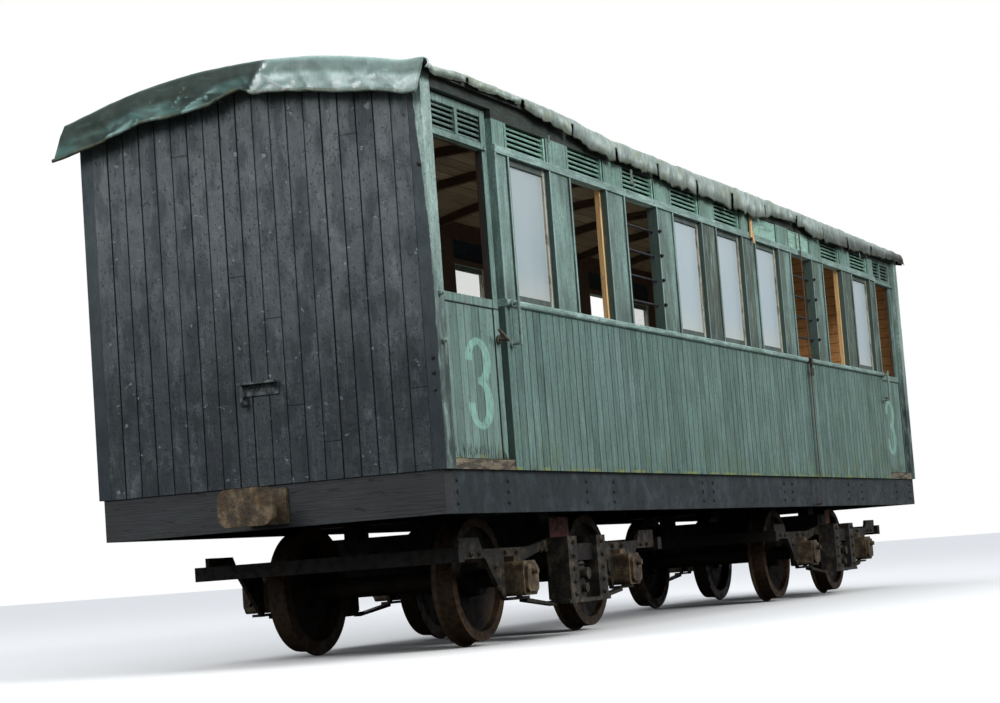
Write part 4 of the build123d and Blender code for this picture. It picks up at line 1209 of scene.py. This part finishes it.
        # Slope of the folds, which paints a highlight on one side of each fold and shade on the other
        slope = height - self.fold_height(facing - 0.012, down + 0.014)
        sag = 0.007 * self.ripple(y, down, 0.13, 23.0) * min(1.0, down / 0.05)
        belly = 0.014 * math.sin(math.pi * min(1.0, down / depth * 0.9))
        out = 0.002 + belly + max(-0.005, sag) + height
        z = top.z - down + 0.006
        if end < 0:
            lean = (down / depth) ** 1.5
            flare = max(0.0, (y - self.corner_y) / self.corner_width) * lean
            y += self.far_flare * flare
            z -= self.corner_drop * flare
            y += self.near_flare * max(0.0, (-top.y - self.corner_y) / self.corner_width) * lean
        hem = 0.0
        if row > self.flat_rows:
            turned = (row - self.flat_rows) / self.hem_rows * self.hem_turn
            reach = self.hem_radius * (1.0 + 0.25 * self.ripple(y, 0.0, 0.10, 29.0))
            out += reach * (1.0 - math.cos(turned))
            z -= reach * math.sin(turned)
            hem = 1.0
        return Vector((end * (self.end + out), y, z)), clamp(0.5 + slope * 42.0), hem

    def build(self, finish: bpy.types.Material) -> bpy.types.Object:
        """Args:
            finish: the cloth.

        Returns:
            The cover.
        """
        columns, rows, end_rows = self.columns, len(self.along), self.flat_rows + self.hem_rows
        points, place = [], {}
        marks: dict[str, list[float]] = {"fold_light": [], "hem": [], "fall": [], "slit": []}

        def keep(key: tuple[int, int], point: Vector, fold_light: float, hem: float = 0.0, fall: float = 0.0) -> None:
            """Store one point of the grid.

            Args:
                key: its row and column.
                point: the point.
                fold_light: its painted light, from painted shade at 0 to a painted highlight at 1.
                hem: how much of a hem.
                fall: how far down a hanging part.
            """
            place[key] = len(points)
            points.append(point)
            # Painted shade on the hanging cloth just past each slit of the near edge
            slit = self.shade_beside_slit(point.x) if fall > 0.3 and point.y < 0 else 0.0
            for values, value in zip(marks.values(), (fold_light, hem, fall, slit)):
                values.append(value)

        for i, x in enumerate(self.along):
            for j, turn in enumerate(self.across):
                keep((i, j), *self.top_point(x, turn))
            for k in range(1, self.eave_rows + 1):
                share = k / self.eave_rows
                for side, column in ((-1.0, -k), (1.0, columns - 1 + k)):
                    keep((i, column), *self.eave_point(x, side, share), max(0.0, share - 0.8) * 5, share)
        for j, turn in enumerate(self.across):
            for k in range(1, end_rows + 1):
                for end, row in ((-1.0, -k), (1.0, rows - 1 + k)):
                    keep((row, j), *self.end_point(end, turn, k), min(1.0, k / self.flat_rows))
        faces = []
        for i in range(-end_rows, rows + end_rows - 1):
            for j in range(-self.eave_rows, columns + self.eave_rows - 1):
                corners = [place.get(key) for key in ((i, j), (i + 1, j), (i + 1, j + 1), (i, j + 1))]
                if None not in corners and not self.is_slit(i, j):
                    faces.append(corners)
        mesh = bpy.data.meshes.new("roof_cover")
        mesh.from_pydata(points, [], faces)
        mesh.polygons.foreach_set("use_smooth", [True] * len(faces))
        for name, values in marks.items():
            mesh.attributes.new(name, "FLOAT", "POINT").data.foreach_set("value", values)
        piece = new_piece("roof_cover", mesh, finish, "coach_body", "canvas")
        solid = piece.modifiers.new("thickness", "SOLIDIFY")
        solid.thickness = self.thickness
        solid.offset = 1.0
        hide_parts("roof_canvas")
        return piece

    def is_slit(self, i: int, j: int) -> bool:
        """Whether the face at a place of the grid is missing in a slit of the near edge.

        Args:
            i: its row along the coach.
            j: its column round the roof.

        Returns:
            True where it is missing.
        """
        if j >= -self.eave_rows // 3 or not 0 <= i < len(self.along) - 1:
            return False
        return self.in_slit((self.along[i] + self.along[i + 1]) / 2)


class Head(Enum):
    """Kind of fastener head: a snap-headed rivet or a hexagon nut on its bolt."""

    RIVET = "rivet"
    NUT = "nut"


@dataclass
class Fasteners:
    """Rivets or nuts of one kind on one body, each at a point and facing away from its surface."""

    name: str
    body: str
    head: Head
    radius: float
    height: float
    spots: list[tuple[Vector, Vector]]
    slot: str = "bare_steel"
    turn: float = 1.05
    seed: int = 5
    bolt_width: float = 0.52
    bolt_length: float = 1.6

    def shape(self, tree: bpy.types.NodeTree, radius: object, height: object) -> bpy.types.Node:
        """Nodes that make one head, standing on the origin.

        Args:
            tree: tree that takes the nodes.
            radius: output with the head's radius.
            height: output with its height.

        Returns:
            The node that gives its geometry.
        """
        if self.head is Head.RIVET:
            ball = add_node(tree, "GeometryNodeMeshUVSphere", {"Segments": 12, "Rings": 6, "Radius": 1.0})
            size = add_node(tree, "ShaderNodeCombineXYZ", {"X": radius, "Y": radius, "Z": height})
            return add_node(tree, "GeometryNodeTransform", {"Geometry": ball, "Scale": size})
        thin = add_node(tree, "ShaderNodeMath", {0: radius, 1: self.bolt_width}, operation="MULTIPLY")
        long = add_node(tree, "ShaderNodeMath", {0: height, 1: self.bolt_length}, operation="MULTIPLY")
        parts = []
        for sides, width, depth in ((6, radius, height), (10, thin, long)):
            bar = add_node(tree, "GeometryNodeMeshCylinder", {"Vertices": sides, "Radius": width, "Depth": depth})
            half = add_node(tree, "ShaderNodeMath", {0: depth, 1: 0.5}, operation="MULTIPLY")
            up = add_node(tree, "ShaderNodeCombineXYZ", {"Z": half})
            links = {"Geometry": bar.outputs["Mesh"], "Translation": up}
            parts.append(add_node(tree, "GeometryNodeTransform", links))
        head = add_node(tree, "GeometryNodeJoinGeometry")
        for part in parts:
            tree.links.new(part.outputs[0], head.inputs[0])
        return head

    def tree(self) -> bpy.types.NodeTree:
        """Geometry nodes that put a head on every point, turned to face the way that the point says.

        Returns:
            The node tree.
        """
        tree = bpy.data.node_groups.new(self.name + "_heads", "GeometryNodeTree")
        inputs = {"Points": "Geometry", "Radius": "Float", "Height": "Float", "Finish": "Material", "Seed": "Int"}
        for label, kind in inputs.items():
            tree.interface.new_socket(label, in_out="INPUT", socket_type="NodeSocket" + kind)
        tree.interface.new_socket("Heads", in_out="OUTPUT", socket_type="NodeSocketGeometry")
        given = add_node(tree, "NodeGroupInput").outputs
        head = self.shape(tree, given["Radius"], given["Height"])
        facing = add_node(tree, "GeometryNodeInputNamedAttribute", {"Name": "facing"}, data_type="FLOAT_VECTOR")
        turned = add_node(tree, "FunctionNodeAlignRotationToVector", {"Vector": facing}, axis="Z")
        limits = {"Min": 0.0, "Max": self.turn, "Seed": given["Seed"]}
        spin = add_node(tree, "FunctionNodeRandomValue", limits, data_type="FLOAT")
        about = add_node(tree, "FunctionNodeAxisAngleToRotation", {"Axis": (0.0, 0.0, 1.0), "Angle": spin})
        both = add_node(tree, "FunctionNodeRotateRotation", {0: turned, 1: about}, rotation_space="LOCAL")
        links = {"Points": given["Points"], "Instance": head, "Rotation": both}
        placed = add_node(tree, "GeometryNodeInstanceOnPoints", links)
        real = add_node(tree, "GeometryNodeRealizeInstances", {"Geometry": placed})
        done = add_node(tree, "GeometryNodeSetMaterial", {"Geometry": real, "Material": given["Finish"]})
        add_node(tree, "NodeGroupOutput", {"Heads": done})
        return tree

    def build(self, finish: bpy.types.Material) -> bpy.types.Object:
        """Make the fasteners as one plain mesh.

        Args:
            finish: their material.

        Returns:
            The piece.
        """
        mesh = bpy.data.meshes.new(self.name + "_points")
        mesh.from_pydata([spot for spot, _ in self.spots], [], [])
        facing = mesh.attributes.new("facing", "FLOAT_VECTOR", "POINT")
        facing.data.foreach_set("vector", [c for _, way in self.spots for c in way])
        maker = bpy.data.objects.new(self.name + "_maker", mesh)
        bpy.context.scene.collection.objects.link(maker)
        tree = self.tree()
        modifier = maker.modifiers.new("heads", "NODES")
        modifier.node_group = tree
        given = {"Radius": self.radius, "Height": self.height, "Finish": finish, "Seed": self.seed}
        for item in tree.interface.items_tree:
            if item.in_out == "INPUT" and item.name in given:
                modifier[item.identifier] = given[item.name]
        graph = bpy.context.evaluated_depsgraph_get()
        made = bpy.data.meshes.new_from_object(maker.evaluated_get(graph))
        made.name = self.name
        maker.modifiers.remove(modifier)
        bpy.data.objects.remove(maker)
        return new_piece(self.name, made, finish, self.body, self.slot)


@dataclass
class SolebarRivets:
    """Rivet columns of the solebars, by their distance from the front end of the body."""

    columns: tuple[float, ...] = (0.158, 0.804, 1.934, 2.372, 4.027, 4.237, 5.898, 6.106, 7.707, 8.120, 9.30, 9.80)
    heights: tuple[float, ...] = (0.055, 0.115, 0.175)
    radius: float = 0.014
    height: float = 0.008

    def build(self, finish: bpy.types.Material) -> bpy.types.Object:
        """Make the rivets of both sides.

        Args:
            finish: their material.

        Returns:
            The piece.
        """
        spots = [
            (Vector((x - HALF_L, way.y * SOLE_OUT, SOLE_Z + up)), way)
            for way in (NEAR, FAR)
            for x in self.columns
            for up in self.heights
        ]
        rivets = Fasteners(
            "solebar_rivets", "coach_body", Head.RIVET, self.radius, self.height, spots, "painted_steel"
        )
        return rivets.build(finish)


Place = tuple[float, float, float]
Box = tuple[Place, Place, float]


@dataclass
class Blocks:
    """Small plain pieces of one kind on one body: boxes given by their middle, size and lean in degrees."""

    name: str
    body: str
    slot: str
    boxes: tuple[Box, ...]

    def build(self, finish: bpy.types.Material) -> bpy.types.Object:
        """Make the boxes as one mesh.

        Args:
            finish: their material.

        Returns:
            The piece.
        """
        points, faces = [], []
        for place, sides, lean in self.boxes:
            middle, size = Vector(place), Vector(sides)
            turn = Matrix.Rotation(math.radians(lean), 3, "Y")
            first = len(points)
            for x, y, z in ((i, j, k) for i in (-0.5, 0.5) for j in (-0.5, 0.5) for k in (-0.5, 0.5)):
                points.append(middle + turn @ Vector((size.x * x, size.y * y, size.z * z)))
            for face in ((0, 1, 3, 2), (4, 6, 7, 5), (0, 4, 5, 1), (2, 3, 7, 6), (0, 2, 6, 4), (1, 5, 7, 3)):
                faces.append([first + corner for corner in face])
        mesh = bpy.data.meshes.new(self.name)
        mesh.from_pydata(points, [], faces)
        mesh.validate()
        return new_piece(self.name, mesh, finish, self.body, self.slot)


@dataclass
class VentBacks:
    """Dark thin boards that close the vents from behind, on the walls and on every door; their near-black is also
    painted shade for the dark inside behind the vents.
    """

    bays: tuple[int, ...] = (2, 3, 4, 5, 6, 9, 10)
    width: float = 0.569
    wall_y: float = 1.0175
    door_y: float = 0.9905
    gap: float = 0.001

    def build(self, finish: bpy.types.Material) -> None:
        """Make them on each body.

        Args:
            finish: their material.
        """
        height = VENT_TOP - VENT_Z - self.gap
        middle = (VENT_TOP + VENT_Z) / 2
        walls = tuple(
            ((-HALF_L + BAY * (bay - 0.5), sy * self.wall_y, middle), (self.width, 0.005, height), 0.0)
            for bay in self.bays
            for _, sy in SIDES
        )
        Blocks("vent_backs", "coach_body", "inside_timber", walls).build(finish)
        low, high = DOOR_VENT
        for side, sy in SIDES:
            for end, sx in ENDS:
                name = f"door_{side}_{end}"
                size = (high - low - self.gap, 0.003, height)
                box = ((sx * (low + high) / 2, sy * self.door_y, middle), size, 0.0)
                Blocks(name + "_vent_back", name, "inside_timber", (box,)).build(finish)


@dataclass
class LooseBits:
    """Small loose and broken things: the strap's buckle, a broken lath and shreds under the roof cloth."""

    buckle: tuple[Box, ...] = (
        ((1.745, -1.1010, 1.872), (0.040, 0.012, 0.060), 0.0),
        ((1.752, -1.0990, 1.796), (0.075, 0.008, 0.058), 6.0),
        ((1.748, -1.0960, 1.836), (0.018, 0.010, 0.040), 0.0),
    )
    lath: tuple[Box, ...] = (
        ((0.500, -1.0850, 2.835), (0.040, 0.009, 0.200), 4.0),
        ((0.520, -1.0890, 2.742), (0.030, 0.007, 0.090), -14.0),
    )
    shreds: tuple[Box, ...] = (
        ((-2.070, -1.1180, 2.850), (0.030, 0.004, 0.095), 10.0),
        ((-2.050, -1.1200, 2.815), (0.018, 0.004, 0.075), -22.0),
        ((-3.420, -1.1250, 2.895), (0.020, 0.004, 0.045), 14.0),
        ((3.480, -1.1200, 2.890), (0.022, 0.004, 0.055), -12.0),
    )

    def build(self, iron: bpy.types.Material, wood: bpy.types.Material, cloth: bpy.types.Material) -> None:
        """Make them.

        Args:
            iron: finish of the buckle.
            wood: finish of the lath.
            cloth: finish of the shreds.
        """
        Blocks("strap_buckle", "coach_body", "bare_steel", self.buckle).build(iron)
        Blocks("broken_lath", "coach_body", "inside_timber", self.lath).build(wood)
        Blocks("cloth_shreds", "coach_body", "canvas", self.shreds).build(cloth)


@dataclass
class BogieFastenings:
    """Nuts on the guards, posts and ties of both bogies, and a blank plate on each near side."""

    post: float = 0.226
    post_face: float = 0.935
    post_nuts: tuple[float, ...] = (0.225, 0.300, 0.375, 0.450, 0.530)
    # Nuts of the side plates: distance from the bogie's middle, and height over the rail
    plate_nuts: tuple[tuple[float, float], ...] = (
        (0.335, 0.495), (0.405, 0.495), (0.745, 0.495), (0.905, 0.495), (1.250, 0.495), (1.360, 0.495),
        (0.620, 0.300), (1.030, 0.300), (0.600, 0.420), (1.050, 0.420),
    )
    radius: float = 0.015
    height: float = 0.012
    # Blank plates of the front and the rear bogie: offset from its middle, height and size
    plates: tuple[tuple[float, float, Place], ...] = (
        (-0.105, 0.650, (0.290, 0.006, 0.118)),
        (-0.010, 0.655, (0.120, 0.006, 0.110)),
    )
    plate_y: float = -0.8035

    def build(self, finish: bpy.types.Material, red: bpy.types.Material, orange: bpy.types.Material) -> None:
        """Make them on each bogie.

        Args:
            finish: finish of the nuts.
            red: finish of the front bogie's plate.
            orange: finish of the rear bogie's plate.
        """
        rows = [(self.post, self.post_face, up) for up in self.post_nuts]
        rows += [(along, FRAME_FACE, up) for along, up in self.plate_nuts]
        for end, side in ENDS:
            name = f"bogie_{end}"
            spots = [
                (Vector((side * BOGIE_X + sx * along, way.y * face, RAIL_Z + up)), way)
                for way in (NEAR, FAR)
                for sx in (-1.0, 1.0)
                for along, face, up in rows
            ]
            Fasteners(name + "_nuts", name, Head.NUT, self.radius, self.height, spots).build(finish)
        for (end, side), (offset, plate_z, size), paint in zip(ENDS, self.plates, (red, orange)):
            name = f"bogie_{end}"
            plate = ((side * BOGIE_X + offset, self.plate_y, plate_z), size, 0.0)
            Blocks(name + "_blank_plate", name, "bare_steel", (plate,)).build(paint)


@dataclass
class BodyFastenings:
    """Stubs of the lost grab rail and bolts beside the near front corner, and the bars' end nuts."""

    stubs: tuple[float, ...] = (1.872, 1.622)
    stub_x: float = -HALF_L + 0.055
    bolts: tuple[float, ...] = (1.536, 1.459, 1.372, 2.545)
    bolt_y: float = -1.027
    barred_bays: tuple[int, ...] = (4, 8)
    bars: int = 4
    # Radius and height of each kind
    stub_size: tuple[float, float] = (0.017, 0.018)
    bolt_size: tuple[float, float] = (0.012, 0.009)
    nut_size: tuple[float, float] = (0.013, 0.012)

    def build(self, finish: bpy.types.Material, stub: bpy.types.Material) -> None:
        """Make them.

        Args:
            finish: finish of the bolts.
            stub: finish of the grab rail's stubs.
        """
        stubs = [(Vector((self.stub_x, -HALF_W, z)), NEAR) for z in self.stubs]
        bolts = [(Vector((-HALF_L, self.bolt_y, z)), FRONT) for z in self.bolts]
        pitch = (TRANSOM_Z - SILL_Z) / (self.bars + 1)
        ends = [
            (Vector((-HALF_L + BAY * (bay - 0.5) + BAR_NUT, way.y * (HALF_W + 0.009), SILL_Z + pitch * (i + 1))), way)
            for bay in self.barred_bays
            for way in (NEAR, FAR)
            for i in range(self.bars)
        ]
        for name, size, spots, paint in (
            ("grab_rail_stubs", self.stub_size, stubs, stub),
            ("corner_bolts", self.bolt_size, bolts, finish),
            ("window_bar_nuts", self.nut_size, ends, finish),
        ):
            Fasteners(name, "coach_body", Head.NUT, *size, spots).build(paint)


MINT = {"paint": "809c94", "faded": "a3c0b8", "deep": "566d66", "dirt": "18231f", "moss_top": 0.5}
BRIGHT = MINT | {"paint": "97b4ac", "faded": "b9d5ce"}

# Faces of pillars gone grey: from where to where along the coach, and how much
GREYED = (
    (-2.43, -2.21, 0.35), (-1.50, -1.30, 0.45), (-0.62, -0.29, 0.95), (0.29, 0.52, 0.92), (1.19, 1.36, 0.70),
    (2.10, 2.32, 0.72), (3.00, 3.33, 0.95), (3.91, 4.10, 0.88),
)

# Every finish of the coach but those of its doors, by the name of what wears it
FINISHES = {
    "side": AgedPaint(
        "oil_paint_brushed_on_matchboard", "64847b", "7f9c95", "3d534c",
        run=Boards(Axis.ALONG, -4.100, 0.0964706, 0.0095), moss_top=1.12, chips=0.04, painted_sky_sheen="7b988f",
    ),
    "rails": AgedPaint("oil_paint_brushed_on_rails", grain=Axis.ALONG, chips=0.12, **BRIGHT),
    "pillars": AgedPaint(
        "oil_paint_brushed_on_pillars", chips=0.07, crown="7aa392", lost=0.26, framed=True, weather=GREYED, **MINT
    ),
    "louvres": AgedPaint(
        "oil_paint_brushed_on_slats", "9cc5b3", "b6dacb", "6b9082", grain=Axis.ALONG, moss_top=0.5, chips=0.06,
        back="16222d",
    ),
    "sashes": AgedPaint(
        "oil_paint_worn_on_sashes", "55645f", "71827b", "343f3b", bare="585449", chips=0.34, moss_top=0.5,
        putty="b9b6a8",
    ),
    # The cornice's dark colour is partly its own worn, dirty paint and partly painted shade under the roof cloth
    "cornice": AgedPaint(
        "oil_paint_lost_from_cornice_and_painted_shade", "323d37", "434f48", "202824", bare="2d2b23", grain=Axis.ALONG, chips=0.40,
        moss_top=0.5,
    ),
    "posts": AgedPaint(
        "oil_paint_and_tar_on_corner_posts", "a9c4bc", "c2d8d1", "667a71", moss_top=1.7, chips=0.12, moss="2f3d39",
        moss_share=0.5, tarred=True,
    ),
    "ends": TarredBoards("tar_brushed_on_planks", Boards(Axis.ACROSS, -0.990, 1.98 / 19, 0.008)),
    # The ceiling's dark edge colour is painted shade on the boards' outer edge under the roof cloth
    "ceiling": BareTimber(
        "pine_boards_of_ceiling", "756953", "443b2e", "8d8068", run=Boards(Axis.ACROSS, 0.0, 0.110, 0.008),
        edge="2e3431",
    ),
    "ribs": BareTimber("pine_sawn_for_ribs", "3b2e22", "1c150f", "54432f", Axis.ACROSS),
    "floor": BareTimber(
        "pine_boards_of_floor", "4a4239", "231e18", "5f5549", Axis.ACROSS, Boards(Axis.ALONG, 0.0, 0.150)
    ),
    "jambs": BareTimber("pine_planed_for_jambs", "dcb074", "8a673f", "efca90", Axis.UP, rot=0.12),
    "sills": BareTimber("oak_rotten_in_sills", "685d4a", "1d1915", "a2987e", rot=0.46),
    "beam": BareTimber("oak_blackened_in_headstocks", "1d2021", "0e0f10", "33373a", Axis.ACROSS),
    # Near-black boards behind the vents: painted shade for the dark inside the coach
    "vent_backs": BareTimber("pine_dark_blue_as_painted_shade", "14222c", "0b1218", "1d303c"),
    "sole": AgedSteel(
        "mild_steel_rolled_and_painted_slate", "1d2629", "2b2a26", "3d494b", "101618", 0.18, 0.36, lichen=0.10
    ),
    "under": AgedSteel("mild_steel_rusted_underframe", "1a1816", "241b15", "26221d", "0e0c0b"),
    "bogie": AgedSteel("mild_steel_plate_rusted", "21211e", "33281d", "655b49", "0c0d0c", 0.35, spot=0.032),
    "castings": AgedSteel(
        "iron_sand_cast_and_rusted", "3f3629", "523e29", "857459", "191510", 0.40, 0.42, 0.0014, spot=0.030
    ),
    "wheels": AgedSteel(
        "carbon_steel_forged_wheel", "201b17", "34261a", "372e25", "0c0a09", 0.45, 0.22, spot=0.06, rim="46331f"
    ),
    "springs": AgedSteel("spring_steel_wound_and_rusted", "221b15", "3a291d", "332b22", "0d0b09"),
    "fittings": AgedSteel(
        "mild_steel_forged_fittings", "4b453d", "55483a", "8c8270", "1f1b16", 0.35, 0.45, spot=0.02
    ),
    "shelf": AgedSteel("mild_steel_angle_worn_grey", "2c3234", "3a352e", "80888a", "14181a", 0.20, 0.42, spot=0.018),
    "grab_rail": AgedSteel(
        "mild_steel_bar_painted_mint", "7c9189", "5f5343", "9aaca4", "43514c", 0.22, 0.35, spot=0.02
    ),
    "black_iron": AgedSteel("wrought_iron_blackened", "1f2226", "33291f", "464c50", "0c0e0f", 0.25, spot=0.02),
    "strap": AgedSteel("mild_steel_strap_rusted", "3c3026", "553c28", "5d5344", "1f1914", spot=0.02),
    "rivets": AgedSteel("mild_steel_rivet_snapped", "171c1e", "2a2521", "343b3a", "0d1011", spot=0.01),
    "nuts": AgedSteel("mild_steel_nut_rusted", "3a342b", "4a3928", "6a5d4a", "191612", spot=0.01),
    "red": AgedSteel("mild_steel_plate_painted_red", "5a2018", "3a1c15", "602b22", "1c100d", spot=0.03),
    "orange": AgedSteel("mild_steel_plate_fresh_rust", "7a4220", "96552a", "5c3a22", "2b1a10", spot=0.02),
    "glass": OldGlass("drawn_glass_dusty"),
    "cloth": RoofCloth("proofed_canvas_weathered"),
}

# Which finish each node of the body wears, and each node of a bogie by the last part of its name
BODY_WEARS = {
    "solebars": "sole", "headstocks": "beam", "cross_members": "under", "floor": "floor", "side_boarding": "side",
    "side_rails": "rails", "pillars": "pillars", "cantrails": "cornice", "louvres": "louvres", "sashes": "sashes",
    "window_glass": "glass", "window_bars": "black_iron", "jamb_strips": "jambs", "corner_posts": "posts",
    "door_hinges": "fittings", "door_sills": "sills", "end_front": "ends", "end_rear": "ends",
    "roof_boards": "ceiling", "roof_ribs": "ribs", "roof_canvas": "cloth", "grab_rails": "grab_rail",
    "couplers": "castings", "end_shelf": "shelf", "tie_strap": "strap",
}
BOGIE_WEARS = {
    "side_plates": "bogie", "baskets": "bogie", "cross_beams": "under", "axleboxes": "castings",
    "springs": "springs", "bolster": "under",
}


def door_paint(name: str, sx: float, facing: float) -> bpy.types.Material:
    """Paint of one door, with its class figure.

    Args:
        name: the door's node.
        sx: -1 at the front end, 1 at the rear.
        facing: 1 on the near side, -1 on the far side.

    Returns:
        The material.
    """
    low, high = PANEL
    run = Boards(Axis.ALONG, -high if sx < 0 else low, 0.0924, 0.008)
    return AgedPaint(
        "oil_paint_brushed_on_" + name, "7f9c93", "9cb8b0", "536a62", dirt="17221f", run=run,
        figure=Figure(sx * FIGURE_X, facing), panel=(low, high, PANEL_TOP), panel_paint="67857d", moss_top=1.10,
        chips=0.08, foot=LEAF_FOOT,
    ).build()


def dress(finishes: dict[str, bpy.types.Material]) -> None:
    """Give every node of the frame its finish.

    Args:
        finishes: the finishes by name.
    """
    worn = {node: finishes[name] for node, name in BODY_WEARS.items()}
    for end, sx in ENDS:
        worn |= {f"bogie_{end}_{part}": finishes[name] for part, name in BOGIE_WEARS.items()}
        worn |= {f"wheelset_{end}_{place}": finishes["wheels"] for place in ("outer", "inner")}
        for side, sy in SIDES:
            door = f"door_{side}_{end}"
            worn |= {door: door_paint(door, sx, -sy), door + "_handle": finishes["fittings"]}
    for name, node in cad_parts.items():
        node.data.materials.clear()
        node.data.materials.append(worn[name])
        LOG.info("%s in %s", name, worn[name].name)


@dataclass
class Studio:
    """Camera at the photograph's viewing angle, pale floor, white backdrop and soft lamps."""

    place: Vector = Vector((-15.042, -5.901, 0.444))
    yaw: float = 0.41974
    pitch: float = 0.097614
    roll: float = -0.074269
    focal: float = 2186.0
    width: float = 1000.0
    sensor: float = 36.0
    floor_half: float = 260.0
    aim: Vector = Vector((0.0, 0.0, 1.8))
    inner_place: Vector = Vector((0.0, 0.0, 1.02))
    inner_size: tuple[float, float] = (9.0, 1.6)
    inner_power: float = 30.0

    def camera(self) -> None:
        """Stand the camera."""
        data = bpy.data.cameras.new("camera")
        data.sensor_width = self.sensor
        data.lens = self.focal / self.width * self.sensor
        data.clip_start, data.clip_end = 0.1, 1000.0
        reach = math.cos(self.pitch)
        forward = Vector((reach * math.cos(self.yaw), reach * math.sin(self.yaw), math.sin(self.pitch)))
        level = Vector((math.sin(self.yaw), -math.cos(self.yaw), 0.0))
        upright = level.cross(forward)
        right = math.cos(self.roll) * level + math.sin(self.roll) * upright
        up = -math.sin(self.roll) * level + math.cos(self.roll) * upright
        camera = bpy.data.objects.new("camera", data)
        turned = Matrix((right, up, -forward)).transposed()
        camera.matrix_world = Matrix.Translation(self.place) @ turned.to_4x4()
        bpy.context.scene.collection.objects.link(camera)
        bpy.context.scene.camera = camera

    def shown(self, tree: bpy.types.NodeTree) -> bpy.types.Node:
        """Factor that is 1 for rays that show the backdrop: the camera's own and those through glass.

        Args:
            tree: tree that takes the nodes.

        Returns:
            The factor.
        """
        path = add_node(tree, "ShaderNodeLightPath").outputs
        links = {0: path["Is Camera Ray"], 1: path["Is Transmission Ray"]}
        return add_node(tree, "ShaderNodeMath", links, operation="MAXIMUM")

    def floor(self) -> None:
        """Lay the floor, pale to the eye and duller in the light that it throws back."""
        mesh = bpy.data.meshes.new("floor")
        far = self.floor_half
        mesh.from_pydata([(-far, -far, 0), (far, -far, 0), (far, far, 0), (-far, far, 0)], [], [(0, 1, 2, 3)])
        surface = Surface("floor_pale_matt")
        tree = surface.tree
        seen = add_node(tree, "ShaderNodeBsdfDiffuse", {"Color": linear("e4e4e2")})
        thrown = add_node(tree, "ShaderNodeBsdfDiffuse", {"Color": linear("4c4b47")})
        mixed = add_node(tree, "ShaderNodeMixShader", {0: self.shown(tree), 1: thrown, 2: seen})
        add_node(tree, "ShaderNodeOutputMaterial", {"Surface": mixed})
        mesh.materials.append(surface.material)
        floor = bpy.data.objects.new("floor", mesh)
        bpy.context.scene.collection.objects.link(floor)

    def sky(self) -> None:
        """Light the scene all round, with a plain white backdrop behind it."""
        world = bpy.data.worlds.new("sky")
        bpy.context.scene.world = world
        world.use_nodes = True
        tree = world.node_tree
        tree.nodes.clear()
        place = add_node(tree, "ShaderNodeTexCoord").outputs["Generated"]
        up = add_node(tree, "ShaderNodeSeparateXYZ", {"Vector": place}).outputs["Z"]
        links = {"Value": up, "From Min": -0.05, "From Max": 0.7, "To Min": 0.55, "To Max": 1.15}
        level = add_node(tree, "ShaderNodeMapRange", links)
        light = add_node(tree, "ShaderNodeBackground", {"Color": linear("f3f7ff"), "Strength": level})
        seen = add_node(tree, "ShaderNodeBackground", {"Color": (1.0, 1.0, 1.0, 1.0), "Strength": 1.0})
        mixed = add_node(tree, "ShaderNodeMixShader", {0: self.shown(tree), 1: light, 2: seen})
        add_node(tree, "ShaderNodeOutputWorld", {"Surface": mixed})

    def lamp(self, name: str, place: tuple[float, float, float], size: float, power: float) -> None:
        """Hang one soft lamp, aimed at the coach.

        Args:
            name: its name.
            place: where it hangs.
            size: its width.
            power: its watts.
        """
        data = bpy.data.lights.new(name, "AREA")
        data.shape = "DISK"
        data.size = size
        data.energy = power
        lamp = bpy.data.objects.new(name, data)
        turned = (self.aim - Vector(place)).to_track_quat("-Z", "Y").to_matrix()
        lamp.matrix_world = Matrix.Translation(place) @ turned.to_4x4()
        bpy.context.scene.collection.objects.link(lamp)

    def inner_lamp(self) -> None:
        """Lift the ceiling out of the dark with a faint wide lamp on the coach's floor."""
        data = bpy.data.lights.new("lamp_inside", "AREA")
        data.shape = "RECTANGLE"
        data.size, data.size_y = self.inner_size
        data.energy = self.inner_power
        data.color = (1.0, 0.95, 0.86)
        lamp = bpy.data.objects.new("lamp_inside", data)
        lamp.matrix_world = Matrix.Translation(self.inner_place) @ Matrix.Rotation(math.pi, 4, "X")
        lamp.visible_camera = lamp.visible_glossy = lamp.visible_transmission = False
        bpy.context.scene.collection.objects.link(lamp)

    def build(self) -> None:
        """Set up the whole studio."""
        self.camera()
        self.floor()
        self.sky()
        self.lamp("lamp_near", (-4.0, -16.0, 11.0), 9.0, 2600.0)
        self.lamp("lamp_front", (-17.0, 3.0, 9.0), 7.0, 1300.0)
        self.inner_lamp()
        bpy.context.scene.view_settings.view_transform = "Standard"


def main() -> None:
    """Build the studio, dress the frame and add the pieces."""
    logging.basicConfig(level=logging.INFO, format="%(message)s")
    Studio().build()
    finishes = {name: finish.build() for name, finish in FINISHES.items()}
    dress(finishes)
    RoofCover().build(finishes["cloth"])
    SolebarRivets().build(finishes["rivets"])
    VentBacks().build(finishes["vent_backs"])
    LooseBits().build(finishes["strap"], finishes["jambs"], finishes["cloth"])
    BogieFastenings().build(finishes["nuts"], finishes["red"], finishes["orange"])
    BodyFastenings().build(finishes["black_iron"], finishes["grab_rail"])


if __name__ == "__main__":
    main()
